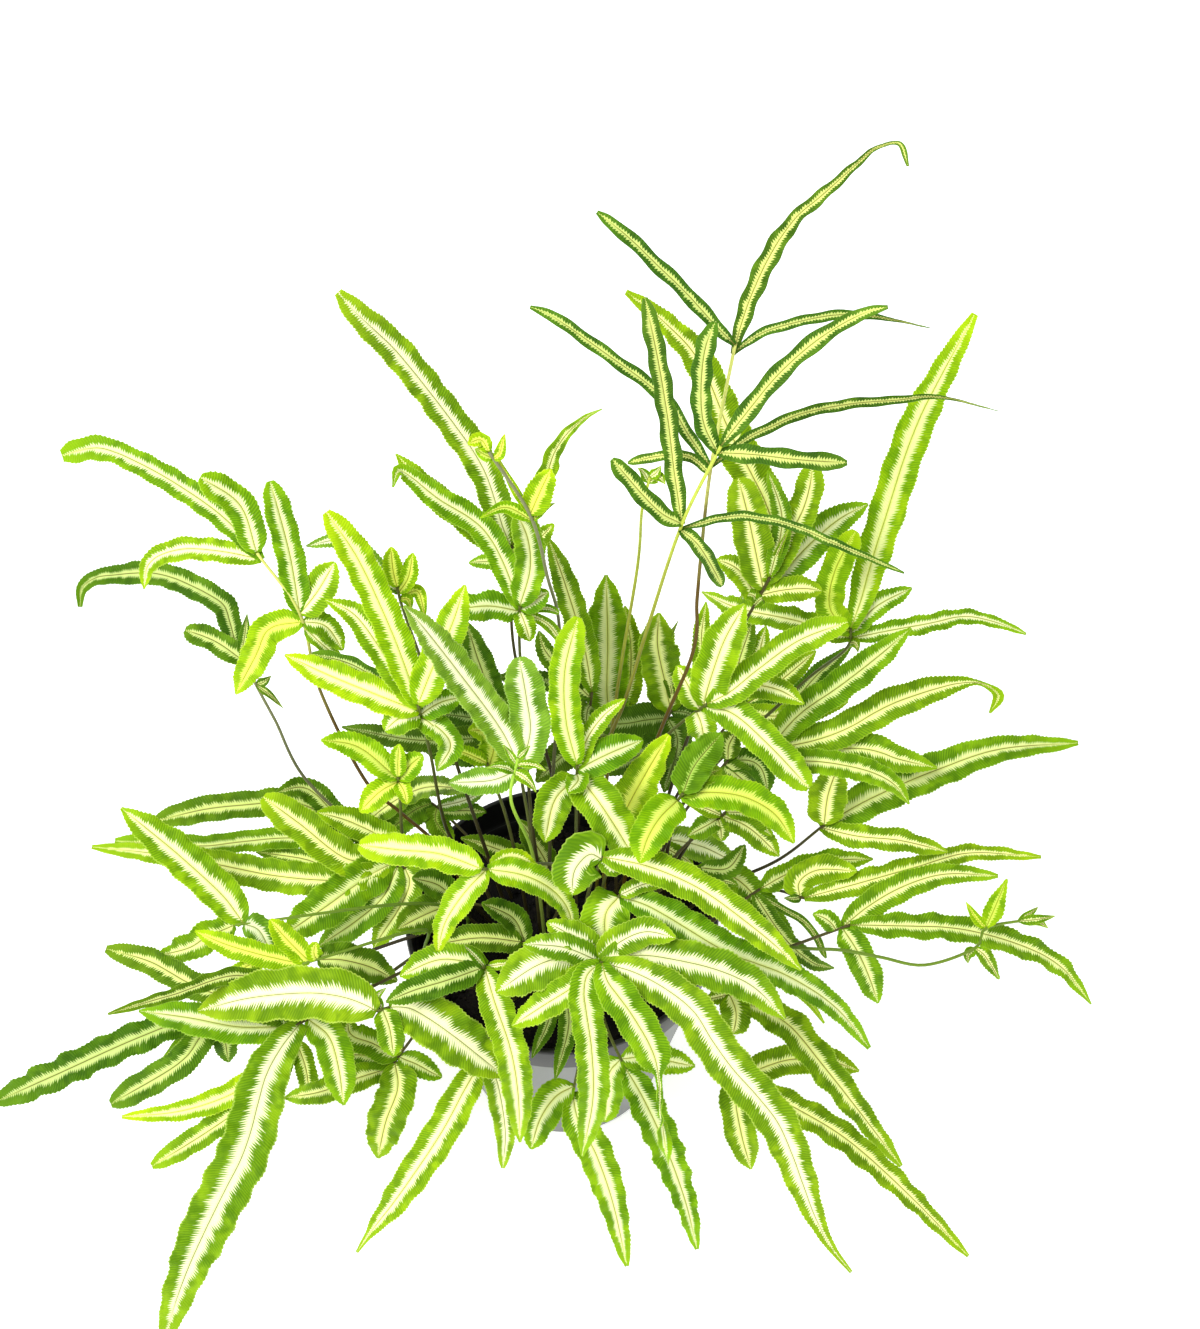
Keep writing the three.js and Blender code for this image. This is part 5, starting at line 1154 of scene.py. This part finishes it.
rim, base, top = potShape["rimRadius"], potShape["baseRadius"], potShape["height"]
step, wall, bottom = potShape["rimStep"], potShape["wall"], potShape["floor"]
band = top - potShape["rimBand"]
slope = (rim - step - base) / band
outerAndInner = [
    (0, 0), (base, 0), (rim - step - 0.4, band - 1.2), (rim - 1.6, band), (rim, top - 1.4),
    (rim - 0.6, top), (rim - 2.4, top), (rim - 3.6, band + 1), (rim - step - wall, band - 2),
    (base - wall + slope * bottom, bottom), (0, bottom),
]
pot = spunPiece("pot_shell", roundedProfile(outerAndInner, potShape["rounding"]), potShape["facets"])
shape = bmesh.new()
reach, drainRadius = potShape["drainCircle"] / 1000, potShape["drainRadius"] / 1000
for i in range(potShape["drains"]):
    angle = i / potShape["drains"] * 2 * math.pi
    place = Matrix.Translation((reach * math.cos(angle), reach * math.sin(angle), 0.0))
    bmesh.ops.create_cone(shape, cap_ends=True, segments=24, radius1=drainRadius, radius2=drainRadius,
                          depth=0.02, matrix=place)
cutter = added("drain cutters", meshFrom("drain cutters", shape))
cut = pot.modifiers.new("drains", "BOOLEAN")
cut.operation, cut.object, cut.solver = "DIFFERENCE", cutter, "EXACT"
bpy.context.view_layer.update()
cutMesh = bpy.data.meshes.new_from_object(pot.evaluated_get(bpy.context.evaluated_depsgraph_get()))
pot.modifiers.clear()
pot.data = cutMesh
bpy.data.objects.remove(cutter)
smoothShaded(pot.data, 35)

# the band at the top is painted a lighter grey than the wall: painted light, as if it caught more light
potFinish = {
    "wall": (112, 114, 114), "rim": (146, 148, 150), "scuff": (96, 98, 99), "inside": (20, 20, 21),
}


def potMaterial():
    look = painted(potFinish)
    graph = Graph("pot plastic")
    x, y, height = graph.parts(graph.place())
    edge = band / 1000
    cloud = graph.noise(14.0, 3.0)
    # painted light: the top band lighter grey than the wall
    colour = graph.colours(height.ramp(edge - 0.0005, edge + 0.0012), look["wall"], look["rim"])
    colour = graph.colours(cloud.ramp(0.55, 0.8) * 0.35, colour, look["scuff"])
    colour = graph.colours(graph.noise(420.0, 1.0).ramp(0.70, 0.78) * 0.25, colour, look["scuff"])
    away = graph.node("ShaderNodeVectorMath", {"operation": "LENGTH"}, {0: graph.joined(x, y)})
    away = Field(graph, away.outputs[1])
    outer = (base + slope * height * 1000 - wall * 0.5) / 1000
    outer = outer + height.ramp(edge - 0.0005, edge + 0.0003) * (step - 0.2) / 1000
    inside = (outer - away).ramp(0.0, 0.0002) * height.ramp(0.0015, 0.0025)
    colour = graph.colours(inside, colour, look["inside"])
    return graph.finish(colour, graph.noise(1500.0, 2.0), 0.00004,
                        Roughness=0.36 + cloud * 0.16, Specular_IOR_Level=0.45)


pot.data.materials.clear()
pot.data.materials.append(potMaterial())
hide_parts("pot")
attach(pot, "root")


def innerRadius(height):  # mm, just inside the pot wall
    return base - wall + slope * height - 0.6


def soilMaterial():
    graph = Graph("potting soil")
    coarse, fine = graph.noise(70.0, 4.0), graph.noise(420.0, 4.0)
    colour = graph.colours(coarse.ramp(0.35, 0.7), paint(10, 9, 8), paint(24, 20, 17))
    colour = graph.colours(fine.ramp(0.55, 0.72) * 0.5, colour, paint(46, 39, 32))
    return graph.finish(colour, coarse + fine * 0.8, 0.0014, Roughness=0.92, Specular_IOR_Level=0.2)


soilPaint = soilMaterial()
low, rows, under = soilShape["top"] - soilShape["shoulder"], soilShape["rows"], soilShape["bottom"]
shape = bmesh.new()
bmesh.ops.create_grid(shape, x_segments=soilShape["sides"], y_segments=rows, size=0.5)
soilMesh = meshFrom("soil_bed", shape)
flat = placesIn(soilMesh)
turn, row = (flat[:, 0] + 0.5) * 2 * np.pi, (flat[:, 1] + 0.5) * rows
# rings from the middle of the underside, up the wall and in to the middle of the top
levels = [(0.0, under), (innerRadius(bottom) * 0.55, under), (innerRadius(bottom), under)]
levels += [(innerRadius(height), height) for height in (30.0, 70.0, low)]
lastWall = len(levels) - 0.5
inward = np.linspace(1, 0, rows - len(levels) + 2)[1:]
levels += [(innerRadius(low) * t, low + soilShape["dome"] * min(1, (1 - t) * 9)) for t in inward]
radius, height = (np.interp(row, np.arange(rows + 1), values) for values in zip(*levels))
for i in np.flatnonzero((row > lastWall) & (radius > 0.01)):  # the top is rough
    spot = Vector((math.cos(turn[i]) * radius[i], math.sin(turn[i]) * radius[i], 0.0))
    rough = noise.noise(spot * 0.12) * soilShape["coarse"] + noise.noise(spot * 0.45) * soilShape["fine"]
    height[i] = min(height[i] + rough, low + soilShape["highest"])
setPlaces(soilMesh, np.column_stack((np.cos(turn) * radius, np.sin(turn) * radius, height)))
shape = bmesh.new()
shape.from_mesh(soilMesh)
closed(shape).to_mesh(soilMesh)
shape.free()
soil = added("soil_bed", soilMesh)
soilMesh.materials.append(soilPaint)
smoothShaded(soilMesh, 60)
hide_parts("soil")
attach(soil, "root")

# crumbs of soil
chance = random.Random(soilShape["seed"])
shape = bmesh.new()
for _ in range(soilShape["crumbs"]):
    size = soilShape["least"] + soilShape["larger"] * chance.random() ** 2.5
    away, bearing = (innerRadius(low) - 3) * math.sqrt(chance.random()), chance.random() * 2 * math.pi
    centre = Vector((away * math.cos(bearing), away * math.sin(bearing), low + 2.9 + chance.random() * 1.4))
    turnBy = Matrix.Rotation(chance.random() * 6.28, 4, "Z") @ Matrix.Rotation(chance.random() * 3, 4, "X")
    stretch = Matrix.Diagonal((1.0, 0.6 + 0.5 * chance.random(), 0.5 + 0.5 * chance.random(), 1.0))
    bmesh.ops.create_icosphere(shape, subdivisions=1, radius=size / 1000,
                               matrix=Matrix.Translation(centre / 1000) @ turnBy @ stretch)
crumbs = added("soil_crumbs", meshFrom("soil_crumbs", shape))
crumbs.data.materials.append(soilPaint)
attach(crumbs, "root")
print("pot and soil built")


# floor, light and camera
studio = {
    "floorSize": 6.0, "floorGlow": 0.52, "sky": 0.62, "key": 42.0, "fill": 6.0,
    "aim": (0.0, 0.0, 0.2),  # m, where the lamps point
    "sensor": 36.0,  # mm
}
scene = bpy.context.scene
shape = bmesh.new()
bmesh.ops.create_grid(shape, x_segments=1, y_segments=1, size=studio["floorSize"])
floor = added("floor", meshFrom("floor", shape))
floor.data.materials.append(Graph("floor").finish(
    paint(252, 252, 252), Roughness=0.9, Specular_IOR_Level=0.1,
    Emission_Color=(1.0, 1.0, 1.0), Emission_Strength=studio["floorGlow"]))

world = bpy.data.worlds.new("studio")
world.use_nodes = True
sky = world.node_tree.nodes["Background"].inputs
sky[0].default_value = (1.0, 1.0, 1.0, 1.0)
sky[1].default_value = studio["sky"]
scene.world = world


def softLight(name, place, size, power):
    data = bpy.data.lights.new(name, "AREA")
    data.shape, data.size, data.energy = "DISK", size, power
    lamp = added(name, data)
    lamp.location = place
    lamp.rotation_euler = (Vector(studio["aim"]) - Vector(place)).to_track_quat("-Z", "Y").to_euler()


softLight("key light", (-0.9, -0.7, 1.9), 1.2, studio["key"])
softLight("fill light", (1.3, -0.6, 1.2), 1.4, studio["fill"])

cameraData = bpy.data.cameras.new("camera")
cameraData.sensor_width = studio["sensor"]
cameraData.lens = sheet["scale"] / sheet["size"][1] * studio["sensor"]
camera = added("camera", cameraData)
camera.location = eye / 1000
camera.rotation_euler = (math.radians(90 - sheet["pitch"]), 0.0, 0.0)
scene.camera = camera
scene.view_settings.view_transform = "Standard"
scene.view_settings.look = "None"
print("studio ready")
